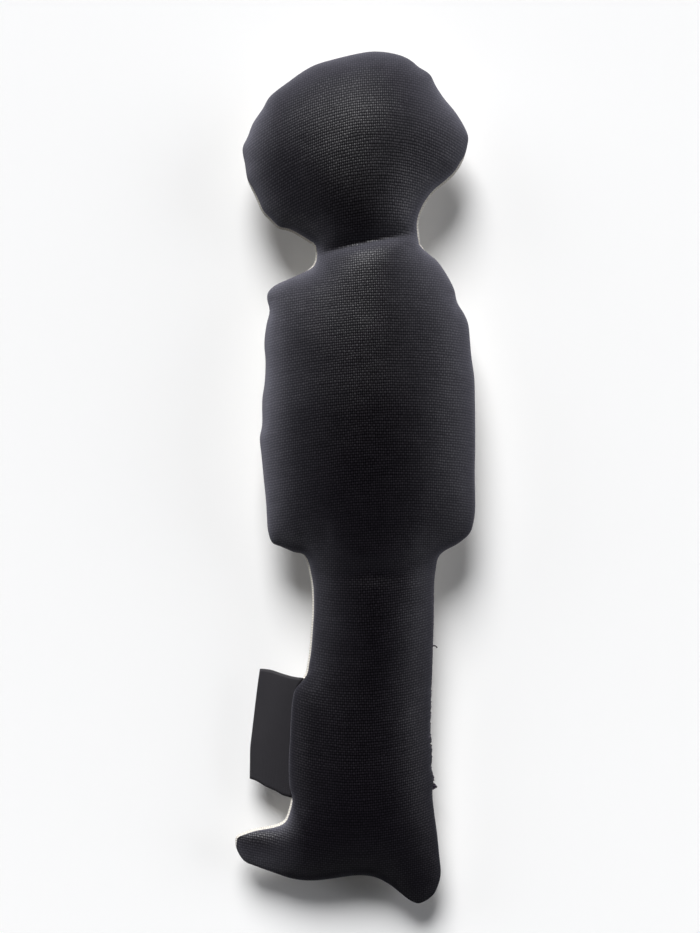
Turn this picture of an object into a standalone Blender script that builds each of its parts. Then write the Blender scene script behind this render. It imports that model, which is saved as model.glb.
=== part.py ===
"""Bendy rag doll lying face down: linen panels, stuffing and an aluminium wire, parted where the doll bends."""

import math

import bpy
import numpy as np
from mathutils import Vector
from mathutils.geometry import delaunay_2d_cdt

MM = 0.001

# Stretches down the doll, crown to sole
HEAD_LONG = 44.0 * MM
TORSO_LONG = 70.3 * MM
LEG_LONG = 56.7 * MM
FOOT_LONG = 22.9 * MM

# How far the outline reaches to each side of the wire
HEAD_LEFT = 28.2 * MM
HEAD_RIGHT = 22.85 * MM
NECK_REACH = 11.75 * MM
TORSO_LEFT = 24.3 * MM
TORSO_RIGHT = 24.5 * MM
LEG_LEFT = 12.5 * MM
LEG_RIGHT = 15.1 * MM
TOE_REACH = 30.05 * MM
HEEL_REACH = 16.8 * MM

# Outline points: share of the reach to the side, share of the stretch downwards
HEAD_LEFT_SHARES = (
    (-0.18, 0.026), (-0.525, 0.106), (-0.823, 0.278), (-1.0, 0.5), (-0.943, 0.67), (-0.839, 0.835),
)
NECK_LEFT_SHARES = ((-1.511, 0.928), (-1.048, 1.0))
SHOULDER_LEFT_SHARES = ((-1.038, 0.052),)
TORSO_LEFT_SHARES = (
    (-0.871, 0.129), (-0.931, 0.155), (-0.91, 0.208), (-0.95, 0.303), (-0.978, 0.529),
    (-0.997, 0.619), (-0.959, 0.787), (-0.913, 0.939), (-0.871, 0.96),
)
HIP_LEFT_SHARES = ((-1.185, 0.994),)
LEG_LEFT_SHARES = ((-1.04, 0.064), (-1.003, 0.196), (-1.121, 0.496), (-1.384, 0.916))
INSTEP_SHARES = ((-1.466, 0.119),)
TOE_SHARES = (
    (-0.719, 0.213), (-0.938, 0.278), (-0.999, 0.377), (-0.961, 0.545), (-0.734, 0.674), (-0.448, 0.766),
)
HEEL_SHARES = (
    (-0.099, 0.702), (0.225, 0.773), (0.59, 0.961), (0.765, 0.996), (0.954, 0.842), (1.0, 0.634), (0.9, 0.08),
)
LEG_RIGHT_SHARES = ((0.969, 0.736), (1.002, 0.136))
HIP_RIGHT_SHARES = ((1.047, 0.997),)
TORSO_RIGHT_SHARES = (
    (0.784, 0.963), (0.932, 0.936), (0.992, 0.868), (1.0, 0.723), (0.969, 0.361),
    (0.928, 0.242), (0.858, 0.205), (0.784, 0.135),
)
SHOULDER_RIGHT_SHARES = ((1.287, 0.044),)
NECK_RIGHT_SHARES = ((1.017, 0.99), (1.017, 0.85))
HEAD_RIGHT_SHARES = (
    (0.692, 0.716), (0.87, 0.629), (1.0, 0.438), (0.841, 0.284), (0.662, 0.139), (0.454, 0.052), (0.176, 0.0),
)

# Where the doll bends, as a share of the stretch, and the length of cloth that gives there
NOD_SHARE = 0.052
WAIST_SHARE = 0.529
HIP_SHARE = 0.052
KNEE_SHARE = 0.384
ANKLE_SHARE = 0.05
NECK_TWIST = 7.7 * MM
NECK_BEND = 7.3 * MM
WAIST_BEND = 11.8 * MM
HIP_BEND = 11.3 * MM
KNEE_BEND = 10.9 * MM
ANKLE_BEND = 5.0 * MM

TORSO_TOP = HEAD_LONG
LEG_TOP = TORSO_TOP + TORSO_LONG
FOOT_TOP = LEG_TOP + LEG_LONG
SOLE = FOOT_TOP + FOOT_LONG
NOD_AT = TORSO_TOP + NOD_SHARE * TORSO_LONG
TURN_AT = NOD_AT - (NECK_BEND + NECK_TWIST) / 2
WAIST_AT = TORSO_TOP + WAIST_SHARE * TORSO_LONG
HIP_AT = LEG_TOP + HIP_SHARE * LEG_LONG
KNEE_AT = LEG_TOP + KNEE_SHARE * LEG_LONG
ANKLE_AT = FOOT_TOP + ANKLE_SHARE * FOOT_LONG

# How thick the stuffed doll is, and how high its side seam lies over the table
HALF_THICK = 12.1 * MM
SWELL_SHARE = 0.54
HEAD_FULLER_SHARE = 0.1
SEAM_AT_CROWN = 10.5 * MM
SEAM_AT_NECK = 11.0 * MM
SEAM_AT_WAIST = 11.6 * MM
SEAM_AT_HIP = 10.6 * MM
SEAM_AT_KNEE = 8.9 * MM
SEAM_AT_ANKLE = 8.2 * MM
SEAM_AT_SOLE = 6.9 * MM

# Cloth, gaps, wire and trim
CLOTH = 0.5 * MM
GAP = 0.3 * MM
WIRE_RADIUS = 1.0 * MM
HEAD_LOOP_HALF = 7.0 * MM
HEAD_LOOP_FROM_CROWN = 8.5 * MM
HEAD_LOOP_CLEAR = 2.8 * MM
FOOT_LOOP_LONG = 13.0 * MM
FOOT_LOOP_HALF = 3.2 * MM
FOOT_LOOP_SHARE = 0.45
FOOT_LOOP_START = 7.5 * MM
FOOT_TURN_RADIUS = 3.5 * MM
WIRE_TAIL = 5.0 * MM
BINDING_LONG = 3.6 * MM
BINDING_WALL = 0.4 * MM
LABEL_TOP_SHARE = 0.492
LABEL_END_SHARE = 0.971
LABEL_REACH = 9.9 * MM
LABEL_RISE = 3.0 * MM
LABEL_DROP = 2.4 * MM
RIBBON = 0.3 * MM
THREAD_RADIUS = 0.25 * MM
THREAD_START_SHARE = 0.536
THREAD_END_SHARE = 0.936
STITCH = 2.5 * MM
STITCH_RISE = 0.75 * MM

# Spacing of the meshes
OUTLINE_STEP = 4.4 * MM
SEAM_RING = 0.9 * MM
NEXT_RING = 2.7 * MM
GRID = 6.4 * MM
WIRE_SIDES = 10
THREAD_SIDES = 6

RUNS = (
    (HEAD_LEFT, 0.0, HEAD_LONG, HEAD_LEFT_SHARES),
    (NECK_REACH, 0.0, HEAD_LONG, NECK_LEFT_SHARES),
    (NECK_REACH, TORSO_TOP, TORSO_LONG, SHOULDER_LEFT_SHARES),
    (TORSO_LEFT, TORSO_TOP, TORSO_LONG, TORSO_LEFT_SHARES),
    (LEG_LEFT, TORSO_TOP, TORSO_LONG, HIP_LEFT_SHARES),
    (LEG_LEFT, LEG_TOP, LEG_LONG, LEG_LEFT_SHARES),
    (LEG_LEFT, FOOT_TOP, FOOT_LONG, INSTEP_SHARES),
    (TOE_REACH, FOOT_TOP, FOOT_LONG, TOE_SHARES),
    (HEEL_REACH, FOOT_TOP, FOOT_LONG, HEEL_SHARES),
    (LEG_RIGHT, LEG_TOP, LEG_LONG, LEG_RIGHT_SHARES),
    (LEG_RIGHT, TORSO_TOP, TORSO_LONG, HIP_RIGHT_SHARES),
    (TORSO_RIGHT, TORSO_TOP, TORSO_LONG, TORSO_RIGHT_SHARES),
    (NECK_REACH, TORSO_TOP, TORSO_LONG, SHOULDER_RIGHT_SHARES),
    (NECK_REACH, 0.0, HEAD_LONG, NECK_RIGHT_SHARES),
    (HEAD_RIGHT, 0.0, HEAD_LONG, HEAD_RIGHT_SHARES),
)
CUTS = (
    NOD_AT - NECK_BEND / 2 - NECK_TWIST,
    NOD_AT + NECK_BEND / 2,
    WAIST_AT - WAIST_BEND / 2,
    WAIST_AT + WAIST_BEND / 2,
    HIP_AT - HIP_BEND / 2,
    HIP_AT + HIP_BEND / 2,
    KNEE_AT - KNEE_BEND / 2,
    KNEE_AT + KNEE_BEND / 2,
    ANKLE_AT - ANKLE_BEND / 2,
    ANKLE_AT + ANKLE_BEND / 2,
)
BODIES = {
    "head": "head", "neck": "neck", "chest": "chest", "waist": "chest", "pelvis": "pelvis", "hip": "pelvis",
    "thigh": "thigh", "knee": "thigh", "shin": "shin", "ankle": "shin", "foot": "foot", "label": "label",
    "closing": "shin",
}
ZONES = ("head", "neck", "chest", "waist", "pelvis", "hip", "thigh", "knee", "shin", "ankle", "foot")


def clear_scene():
    for obj in list(bpy.data.objects):
        bpy.data.objects.remove(obj)


def hand_points():
    """The silhouette's chosen points, down the left side and up the right; the crown is at zero."""
    points = []
    for reach, top, long, shares in RUNS:
        points += [(reach * across, -top - long * down) for across, down in shares]
    return np.array(points)


def rounded(points, step):
    """A smooth closed line through the points, in pieces of about one step."""
    line = []
    count = len(points)
    for i in range(count):
        a, b, c, d = (points[(i + k) % count] for k in (-1, 0, 1, 2))
        before, here, after = (np.linalg.norm(q - p) for p, q in ((a, b), (b, c), (c, d)))
        lean_b = (c - a) * here / (before + here)
        lean_c = (d - b) * here / (here + after)
        pieces = max(1, round(here / step))
        for s in np.arange(pieces) / pieces:
            end_b = b * (1 + 2 * s) * (1 - s) ** 2 + lean_b * s * (1 - s) ** 2
            end_c = c * (3 - 2 * s) * s * s - lean_c * (1 - s) * s * s
            line.append(end_b + end_c)
    return np.array(line)


def with_crossings(line, levels, clear):
    """The line with a point wherever it crosses a level, and its own points close to a level left out."""
    points, marks = [], []
    for a, b in zip(line, np.roll(line, -1, axis=0)):
        if min(abs(a[1] - level) for level in levels) > clear:
            points.append(a)
            marks.append(None)
        crossed = [level for level in levels if (a[1] - level) * (b[1] - level) < 0]
        for level in sorted(crossed, key=lambda one: abs(one - a[1])):
            points.append(a + (b - a) * (level - a[1]) / (b[1] - a[1]))
            marks.append(level)
    return np.array(points), marks


def inward(line):
    """The direction into the doll at each point of its outline."""
    run = np.roll(line, -1, axis=0) - np.roll(line, 1, axis=0)
    turned = np.column_stack([-run[:, 1], run[:, 0]])
    return turned / np.linalg.norm(turned, axis=1)[:, None]


def depth(point, line):
    """How far a point lies inside the outline, negative outside."""
    start, end = line, np.roll(line, -1, axis=0)
    run = end - start
    along = np.clip(((point - start) * run).sum(axis=1) / (run * run).sum(axis=1), 0, 1)
    away = np.linalg.norm(point - start - run * along[:, None], axis=1).min()
    over = (start[:, 1] > point[1]) != (end[:, 1] > point[1])
    cross = start[over, 0] + (point[1] - start[over, 1]) * run[over, 0] / run[over, 1]
    return away if (cross > point[0]).sum() % 2 else -away


def edge(line, level, side):
    """Where the outline stands at a level, on the left for side -1 or the right for side 1."""
    start, end = line, np.roll(line, -1, axis=0)
    over = (start[:, 1] > level) != (end[:, 1] > level)
    run = end[over] - start[over]
    cross = start[over, 0] + (level - start[over, 1]) * run[:, 0] / run[:, 1]
    return side * (side * cross).max()


def cut_rows(line, marks, levels):
    """Rows of points across the doll on each level, and the lines that join them."""
    rows, chains = [], []
    for level in levels:
        ends = sorted((i for i, mark in enumerate(marks) if mark == level), key=lambda i: line[i][0])
        left, right = line[ends[0]][0], line[ends[1]][0]
        spans = max(1, round((right - left - 2 * NEXT_RING) / GRID))
        middle = np.linspace(left + NEXT_RING, right - NEXT_RING, spans + 1)
        first = len(line) + len(rows)
        rows += [np.array((x, level)) for x in (left + SEAM_RING, *middle, right - SEAM_RING)]
        chain = [ends[0], *range(first, len(line) + len(rows)), ends[1]]
        chains += list(zip(chain, chain[1:]))
    return rows, chains


def grid_points():
    """A staggered grid over the whole doll."""
    rows = math.ceil(SOLE / (GRID * math.sqrt(0.75)))
    columns = math.ceil(2 * TOE_REACH / GRID)
    for row in range(rows):
        for column in range(columns):
            yield np.array(((column + row % 2 / 2) * GRID - TOE_REACH, -row * GRID * math.sqrt(0.75)))


def inner_points(line, marks, levels, rows):
    """Two rings beside the seam and the grid between them, kept off the cuts and off one another."""
    into = inward(line)
    wanted = [(line[i] + into[i] * SEAM_RING, SEAM_RING, SEAM_RING) for i, mark in enumerate(marks) if mark is None]
    wanted += [(line[i] + into[i] * NEXT_RING, NEXT_RING, NEXT_RING * 0.6) for i in range(0, len(line), 2)]
    wanted += [(point, NEXT_RING + GRID / 3, GRID * 0.6) for point in grid_points()]
    kept = list(rows)
    for point, deep, apart in wanted:
        off_cuts = min(abs(point[1] - level) for level in levels) > apart
        alone = np.linalg.norm(np.array(kept) - point, axis=1).min() > apart
        if off_cuts and alone and depth(point, line) > 0.8 * deep:
            kept.append(point)
    return kept


def membrane(flat, faces, seam):
    """Height of a soap film over the silhouette, pinned at the seam and pushed up evenly."""
    count = len(flat)
    pull = np.zeros((count, count))
    push = np.zeros(count)
    for face in faces:
        for i, j, k in (face, np.roll(face, 1), np.roll(face, 2)):
            u, v = flat[i] - flat[k], flat[j] - flat[k]
            cross = abs(u[0] * v[1] - u[1] * v[0])
            weight = (u @ v) / cross / 2
            pull[i, j] -= weight
            pull[j, i] -= weight
            pull[i, i] += weight
            pull[j, j] += weight
            push[i] += cross / 6
    free = np.flatnonzero(~seam)
    rise = np.zeros(count)
    rise[free] = np.linalg.solve(pull[np.ix_(free, free)], push[free])
    return rise


def seam_height(level):
    stations = (0.0, NOD_AT, WAIST_AT, HIP_AT, KNEE_AT, ANKLE_AT, SOLE)
    heights = (
        SEAM_AT_CROWN, SEAM_AT_NECK, SEAM_AT_WAIST, SEAM_AT_HIP, SEAM_AT_KNEE, SEAM_AT_ANKLE, SEAM_AT_SOLE,
    )
    return np.interp(-np.asarray(level), stations, heights)


class Cloth:
    """The silhouette as a flat mesh, with how far the stuffed doll swells at each point."""

    def __init__(self):
        self.levels = [level for cut in CUTS for level in (-cut + GAP / 2, -cut - GAP / 2)]
        smooth = rounded(hand_points(), OUTLINE_STEP)
        self.line, marks = with_crossings(smooth, self.levels, OUTLINE_STEP / 4)
        rows, chains = cut_rows(self.line, marks, self.levels)
        kept = inner_points(self.line, marks, self.levels, rows)
        points = [tuple(point) for point in (*self.line, *kept)]
        border = [(i, (i + 1) % len(self.line)) for i in range(len(self.line))]
        made = delaunay_2d_cdt(points, border + chains, [], 1, GAP * 1e-4)
        self.flat = np.array([points[origin[0]] for origin in made[3]])
        self.faces = np.array(made[2])
        self.seam = np.array([origin[0] < len(self.line) for origin in made[3]])
        self.cut = np.isin(self.flat[:, 1], self.levels)
        self.swell = self.swelling()
        self.normal = self.normals([origin[0] for origin in made[3]])
        low, high = self.line.min(axis=0), self.line.max(axis=0)
        self.middle = (low + high) / 2

    def swelling(self):
        film = membrane(self.flat, self.faces, self.seam)
        share = (film / film.max()) ** SWELL_SHARE
        over = np.clip((self.flat[:, 1] + WAIST_AT) / (WAIST_AT - HEAD_LONG / 2), 0, 1)
        return HALF_THICK * share * (1 + HEAD_FULLER_SHARE * over * over * (3 - 2 * over))

    def normals(self, origins):
        """Outward directions; level at the seam, and with no lean along the doll at a cut."""
        raised = np.column_stack([self.flat, self.swell])
        a, b, c = (raised[self.faces[:, k]] for k in range(3))
        leaning = np.zeros_like(raised)
        for k in range(3):
            np.add.at(leaning, self.faces[:, k], np.cross(b - a, c - a))
        into = inward(self.line)
        for i in np.flatnonzero(self.seam):
            leaning[i] = (-into[origins[i]][0], -into[origins[i]][1], 0.0)
        leaning[self.cut, 1] = 0.0
        return leaning / np.linalg.norm(leaning, axis=1)[:, None]

    def skin(self, inset, side, apart):
        """One face of the doll, set in from its outside; apart holds the two faces off each other at the seam."""
        moved = self.flat - inset * self.normal[:, :2]
        rise = np.maximum(self.swell - inset * self.normal[:, 2], apart)
        level = np.maximum(seam_height(moved[:, 1]) + side * rise, inset)
        return np.column_stack([moved - self.middle, level])

    def zone_faces(self, index):
        top = math.inf if index == 0 else -CUTS[index - 1] - GAP / 4
        low = -math.inf if index == len(CUTS) else -CUTS[index] + GAP / 4
        height = self.flat[self.faces, 1]
        return self.faces[(height < top).all(axis=1) & (height > low).all(axis=1)]


def border_edges(faces):
    """Edges with a face on one side only, each with that face on its left."""
    sides = {(face[k], face[(k + 1) % 3]) for face in faces.tolist() for k in range(3)}
    return [(a, b) for a, b in sides if (b, a) not in sides]


def add_mesh(name, points, faces):
    """An object of the faces, made of only the points they use; repeated corners drop out."""
    whole = [tuple(dict.fromkeys(face)) for face in faces]
    whole = [face for face in whole if len(face) > 2]
    used = sorted({i for face in whole for i in face})
    number = {i: k for k, i in enumerate(used)}
    mesh = bpy.data.meshes.new(name)
    mesh.from_pydata([tuple(points[i]) for i in used], [], [[number[i] for i in face] for face in whole])
    obj = bpy.data.objects.new(name, mesh)
    bpy.context.scene.collection.objects.link(obj)
    return obj


def add_panel(cloth, zone, name, side):
    """One cloth panel: outer face, inner face, and the rims that join them."""
    outer = cloth.skin(0.0, side, GAP / 2)
    inner = cloth.skin(CLOTH, side, GAP / 2)
    faces = cloth.zone_faces(ZONES.index(zone))
    count = len(outer)
    solid = faces.tolist() + (faces[:, ::-1] + count).tolist()
    for a, b in border_edges(faces):
        solid += [(b, a, a + count), (b, a + count, b + count)]
    if side < 0:
        solid = [tuple(reversed(face)) for face in solid]
    return add_mesh(name, np.vstack([outer, inner]), solid)


def add_stuffing(cloth, zone, cutters):
    """The stuffing between the two panels of a zone, with the wire's channel cut out."""
    top = cloth.skin(CLOTH + GAP, 1, 0.0)
    low = cloth.skin(CLOTH + GAP, -1, 0.0)
    faces = cloth.zone_faces(ZONES.index(zone))
    count = len(top)
    under = np.where(cloth.seam, np.arange(count), np.arange(count) + count)
    solid = faces.tolist() + under[faces[:, ::-1]].tolist()
    for a, b in border_edges(faces):
        if not (cloth.seam[a] and cloth.seam[b]):
            solid += [(b, a, int(under[a])), (b, int(under[a]), int(under[b]))]
    obj = add_mesh(zone + "_stuffing", np.vstack([top, low]), solid)
    for cutter in cutters:
        cut = obj.modifiers.new("channel", "BOOLEAN")
        cut.operation = "DIFFERENCE"
        cut.solver = "EXACT"
        cut.use_self = True
        cut.object = cutter
    return obj


def add_tube(name, path, radius, sides, domed=False):
    """A round bar along the path; domed rounds its start about the path's first point."""
    path = np.array(path)
    run = np.gradient(path, axis=0)
    run /= np.linalg.norm(run, axis=1)[:, None]
    rings = [(point, way, radius) for point, way in zip(path, run)]
    tip = path[0]
    if domed:
        tip = path[0] - run[0] * radius
        turns = (math.radians(angle) for angle in (66, 44, 22))
        dome = [(path[0] - run[0] * radius * math.sin(t), run[0], radius * math.cos(t)) for t in turns]
        rings = dome + rings
    points, faces = [], []
    for centre, way, size in rings:
        across = np.cross(way, (0.0, 0.0, 1.0))
        across /= np.linalg.norm(across)
        up = np.cross(across, way)
        for k in range(sides):
            angle = math.tau * k / sides
            points.append(centre + size * (across * math.cos(angle) + up * math.sin(angle)))
    for ring in range(len(rings) - 1):
        for k in range(sides):
            a, b = ring * sides + k, ring * sides + (k + 1) % sides
            faces.append((a, a + sides, b + sides, b))
    last = len(points) - sides
    points += [tip, path[-1]]
    for k in range(sides):
        after = (k + 1) % sides
        faces.append((k, after, len(points) - 2))
        faces.append((last + after, last + k, len(points) - 1))
    return add_mesh(name, points, faces)


def outward(obj):
    """Turns the mesh right side out if its faces point inwards."""
    mesh = obj.data
    corners = [[mesh.vertices[i].co for i in face.vertices] for face in mesh.polygons]
    volume = sum(c[0].dot(c[k].cross(c[k + 1])) for c in corners for k in range(1, len(c) - 1))
    if volume < 0:
        mesh.flip_normals()
    return obj


def helper(obj):
    obj.hide_render = True
    obj.display_type = "WIRE"
    return outward(obj)


def placed(cloth, flat_path):
    """The path in the part's frame, at the height of the side seam."""
    flat_path = np.array(flat_path)
    return np.column_stack([flat_path - cloth.middle, seam_height(flat_path[:, 1])])


def loop_path(base, along, across, long, half, pair):
    """An eye of wire: out from the base, round, and back beside where it left, then a short tail."""
    path = []
    for turn in np.linspace(0, math.tau, 25):
        out = long * (1 - math.cos(turn)) / 2
        aside = pair * (1 - math.cos(turn / 2)) / 2 - half / 0.65 * math.sin(turn) * math.sin(turn / 2) ** 2
        path.append(base + along * out + across * aside)
    path.append(base + across * pair - along * WIRE_TAIL)
    return path


def head_path():
    """From the twisting joint up through the head to its loop."""
    up, right = np.array((0.0, 1.0)), np.array((1.0, 0.0))
    down = CUTS[0] - HEAD_LOOP_CLEAR - WIRE_TAIL
    start, base = np.array((0.0, -TURN_AT + GAP / 2)), np.array((0.0, -down))
    long = down - HEAD_LOOP_FROM_CROWN
    return [start, *loop_path(base, up, right, long, HEAD_LOOP_HALF, 2 * WIRE_RADIUS + GAP)]


def foot_path():
    """From the ankle down, round towards the toe and into a small loop."""
    level = -FOOT_TOP - FOOT_LOOP_SHARE * FOOT_LONG
    toe, down = np.array((-1.0, 0.0)), np.array((0.0, -1.0))
    path = [np.array((0.0, -ANKLE_AT))]
    for turn in np.radians(np.linspace(0, 90, 6)):
        shift = FOOT_TURN_RADIUS * np.array((math.cos(turn) - 1, 1 - math.sin(turn)))
        path.append(np.array((0.0, level)) + shift)
    base = np.array((-FOOT_LOOP_START, level))
    return path + loop_path(base, toe, down, FOOT_LOOP_LONG, FOOT_LOOP_HALF, 2 * WIRE_RADIUS + GAP)


def straight(top, end):
    return [np.array((0.0, -top)), np.array((0.0, -end))]


def add_wires(cloth):
    """The wire links: each starts as a ball about its joint and stops short of the next."""
    short = WIRE_RADIUS + GAP
    links = {
        "chest_wire": (straight(WAIST_AT, NOD_AT + short), True),
        "neck_wire": (straight(NOD_AT, TURN_AT + GAP / 2), True),
        "pelvis_wire": (straight(WAIST_AT + short, HIP_AT - short), False),
        "thigh_wire": (straight(HIP_AT, KNEE_AT - short), True),
        "shin_wire": (straight(KNEE_AT, ANKLE_AT - short), True),
        "head_wire": (head_path(), False),
        "foot_wire": (foot_path(), True),
    }
    for name, (path, domed) in links.items():
        outward(add_tube(name, placed(cloth, path), WIRE_RADIUS, WIRE_SIDES, domed))


def stadium(half, radius):
    """Points round a slot-shaped section, half long from its middle to each end's centre."""
    turns = np.linspace(0, math.pi, 7)
    right = [(half + radius * math.sin(t), -radius * math.cos(t)) for t in turns]
    left = [(-half - radius * math.sin(t), radius * math.cos(t)) for t in turns]
    return right + left


def add_sleeve(name, centre, along, across, long, inner, outer):
    """A sleeve of slot-shaped section about two wires, or a solid block where no inner radius is given."""
    up = np.array((0.0, 0.0, 1.0))
    half = WIRE_RADIUS + GAP / 2
    loops = [(stadium(half, outer), -long / 2), (stadium(half, outer), long / 2)]
    if inner:
        loops += [(stadium(half, inner), long / 2), (stadium(half, inner), -long / 2)]
    points = [centre + across * x + up * z + along * y for loop, y in loops for x, z in loop]
    count = len(loops[0][0])
    faces = []
    for ring in range(len(loops) if inner else 1):
        for k in range(count):
            a, b = ring * count + k, ring * count + (k + 1) % count
            span = len(points)
            faces.append((a, b, (b + count) % span, (a + count) % span))
    if not inner:
        faces += [tuple(range(count))[::-1], tuple(range(count, 2 * count))]
    return outward(add_mesh(name, points, faces))


def add_binding(cloth, name, flat_path, across):
    """Tape round the wire's end where it returns beside itself, and the hollow it needs in the stuffing."""
    across = np.array(across)
    along = (flat_path[-2] - flat_path[-1]) / np.linalg.norm(flat_path[-2] - flat_path[-1])
    middle = (flat_path[-2] + flat_path[-1]) / 2 - across * (WIRE_RADIUS + GAP / 2)
    centre = placed(cloth, [middle])[0]
    along, across = np.append(along, 0.0), np.append(across, 0.0)
    inner = WIRE_RADIUS + GAP
    outer = inner + BINDING_WALL
    add_sleeve(name, centre, along, across, BINDING_LONG, inner, outer)
    hollow = add_sleeve(name + "_hollow", centre, along, across, WIRE_TAIL + 2 * GAP, 0.0, outer + GAP)
    return helper(hollow)


def add_channels(cloth):
    """Cutters for the wire's way through the stuffing: the straight run and the two loops."""
    wide = WIRE_RADIUS + GAP
    head, foot = head_path(), foot_path()
    run = [(0.0, -d) for d in (TURN_AT - NECK_TWIST, NOD_AT, WAIST_AT, HIP_AT, KNEE_AT, ANKLE_AT + GAP)]
    head[0] = np.array((0.0, -TURN_AT))
    head[-1] = head[-2] + (head[-1] - head[-2]) * (1 + GAP / WIRE_TAIL)
    foot[-1] = foot[-2] + (foot[-1] - foot[-2]) * (1 + GAP / WIRE_TAIL)
    foot[0] = np.array((0.0, -ANKLE_AT + ANKLE_BEND))
    paths = {"run_channel": run, "head_channel": head, "foot_channel": foot}
    return {
        name: helper(add_tube(name, placed(cloth, path), wide, WIRE_SIDES)) for name, path in paths.items()
    }


def label_roots(cloth):
    """Both ends of the line that the label swings about, clear of the left seam of the leg."""
    clear = np.array((RIBBON * 1.5 + GAP, 0.0))
    levels = (-LEG_TOP - share * LEG_LONG for share in (LABEL_TOP_SHARE, LABEL_END_SHARE))
    return placed(cloth, [np.array((edge(cloth.line, level, -1), level)) - clear for level in levels])


def add_label(cloth):
    """A ribbon folded double, its open end at the left seam of the leg."""
    half = RIBBON * 1.5
    roots = label_roots(cloth)
    fold = roots - np.array((LABEL_REACH, 0.0, LABEL_DROP)) + np.array(((0, 1, 0), (0, 1, 0))) * LABEL_RISE
    section = label_section(half)
    points, faces = [], []
    stations = np.linspace(0, 1, 7)
    for share in stations:
        root = roots[0] + (roots[1] - roots[0]) * share
        out = fold[0] + (fold[1] - fold[0]) * share - root
        width = np.linalg.norm(out)
        out /= width
        up = np.cross(out, roots[1] - roots[0])
        up /= np.linalg.norm(up)
        points += [root + out * (width * x + half * along) + up * z for x, along, z in section]
    count = len(section)
    for ring in range(len(stations) - 1):
        for k in range(count):
            a, b = ring * count + k, ring * count + (k + 1) % count
            faces.append((a, b, b + count, a + count))
    faces += [tuple(range(count))[::-1], tuple(range(len(points) - count, len(points)))]
    return outward(add_mesh("label_loop", points, faces))


def label_section(half):
    """The folded ribbon end on: share of the width, further reach in half thicknesses, height."""
    turns = np.radians(np.linspace(90, -90, 7))
    outside = [(0.0, 0.0, half)] + [(1.0, math.cos(t), half * math.sin(t)) for t in turns] + [(0.0, 0.0, -half)]
    third = half / 3
    inside = [(0.0, 0.0, -third)] + [(1.0, math.cos(t) / 3, third * math.sin(t)) for t in -turns] + [(0.0, 0.0, third)]
    return outside + inside


def add_closing_thread(cloth):
    """Hand stitches that close the turning gap: one thread going to and fro over the right seam of the leg."""
    start = LEG_TOP + THREAD_START_SHARE * LEG_LONG
    long = (THREAD_END_SHARE - THREAD_START_SHARE) * LEG_LONG
    turns = 2 * round(long / STITCH)
    levels = [-start - long * k / turns for k in range(turns + 1)]
    away = THREAD_RADIUS + GAP
    flat_path = [(edge(cloth.line, level, 1) + away, level) for level in levels]
    path = placed(cloth, flat_path)
    path[:, 2] += np.where(np.arange(turns + 1) % 2, STITCH_RISE, -STITCH_RISE)
    return outward(add_tube("closing_thread", path, THREAD_RADIUS, THREAD_SIDES))


def add_joint(name, spot, parent):
    """An empty on a body's joint."""
    empty = bpy.data.objects.new(name, None)
    bpy.context.scene.collection.objects.link(empty)
    empty.empty_display_size = GRID
    empty.location = spot
    if parent:
        empty.parent = parent
        empty.location = np.array(spot) - np.array(parent["spot"])
    empty["spot"] = [float(value) for value in spot]
    return empty


def add_joints(cloth):
    """The empties that carry the bodies, each on its joint's axis."""
    stations = (
        ("pelvis", WAIST_AT, None), ("chest", WAIST_AT, "pelvis"), ("neck", NOD_AT, "chest"),
        ("head", TURN_AT, "neck"), ("thigh", HIP_AT, "pelvis"), ("shin", KNEE_AT, "thigh"),
        ("foot", ANKLE_AT, "shin"),
    )
    joints = {}
    for name, down, parent in stations:
        spot = placed(cloth, [(0.0, -down)])[0]
        joints[name] = add_joint(name + "_joint", spot, joints.get(parent))
    top, end = label_roots(cloth)
    joints["label"] = add_joint("label_joint", (top + end) / 2, joints["shin"])
    return joints


def hang(obj, joint):
    """Puts an object's origin on its joint, with its shape where it was."""
    spot = Vector(joint["spot"])
    for vertex in obj.data.vertices:
        vertex.co -= spot
    obj.parent = joint


def make_material(name, color, roughness, metallic=0.0):
    material = bpy.data.materials.new(name)
    material.use_nodes = True
    shader = material.node_tree.nodes["Principled BSDF"]
    shader.inputs["Base Color"].default_value = (*color, 1.0)
    shader.inputs["Roughness"].default_value = roughness
    shader.inputs["Metallic"].default_value = metallic
    return material


def finish(cloth):
    """Smooth shading, a material and a joint for each piece."""
    looks = {
        "back_panel": make_material("black_linen", (0.014, 0.014, 0.019), 0.9),
        "front_panel": make_material("natural_linen", (0.72, 0.7, 0.66), 0.9),
        "stuffing": make_material("fibre_fill", (0.85, 0.85, 0.83), 1.0),
        "wire": make_material("aluminium_wire", (0.6, 0.6, 0.61), 0.35, 1.0),
        "binding": make_material("cloth_tape", (0.8, 0.78, 0.72), 0.8),
        "label_loop": make_material("black_ribbon", (0.023, 0.023, 0.03), 0.6),
        "thread": make_material("black_thread", (0.02, 0.02, 0.025), 0.8),
    }
    joints = add_joints(cloth)
    for obj in [one for one in bpy.data.objects if one.type == "MESH" and not one.hide_render]:
        obj.data.materials.append(next(look for ending, look in looks.items() if obj.name.endswith(ending)))
        obj.data.shade_smooth()
        obj.data.set_sharp_from_angle(angle=math.radians(50))
        hang(obj, joints[BODIES[obj.name.split("_")[0]]])


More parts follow.
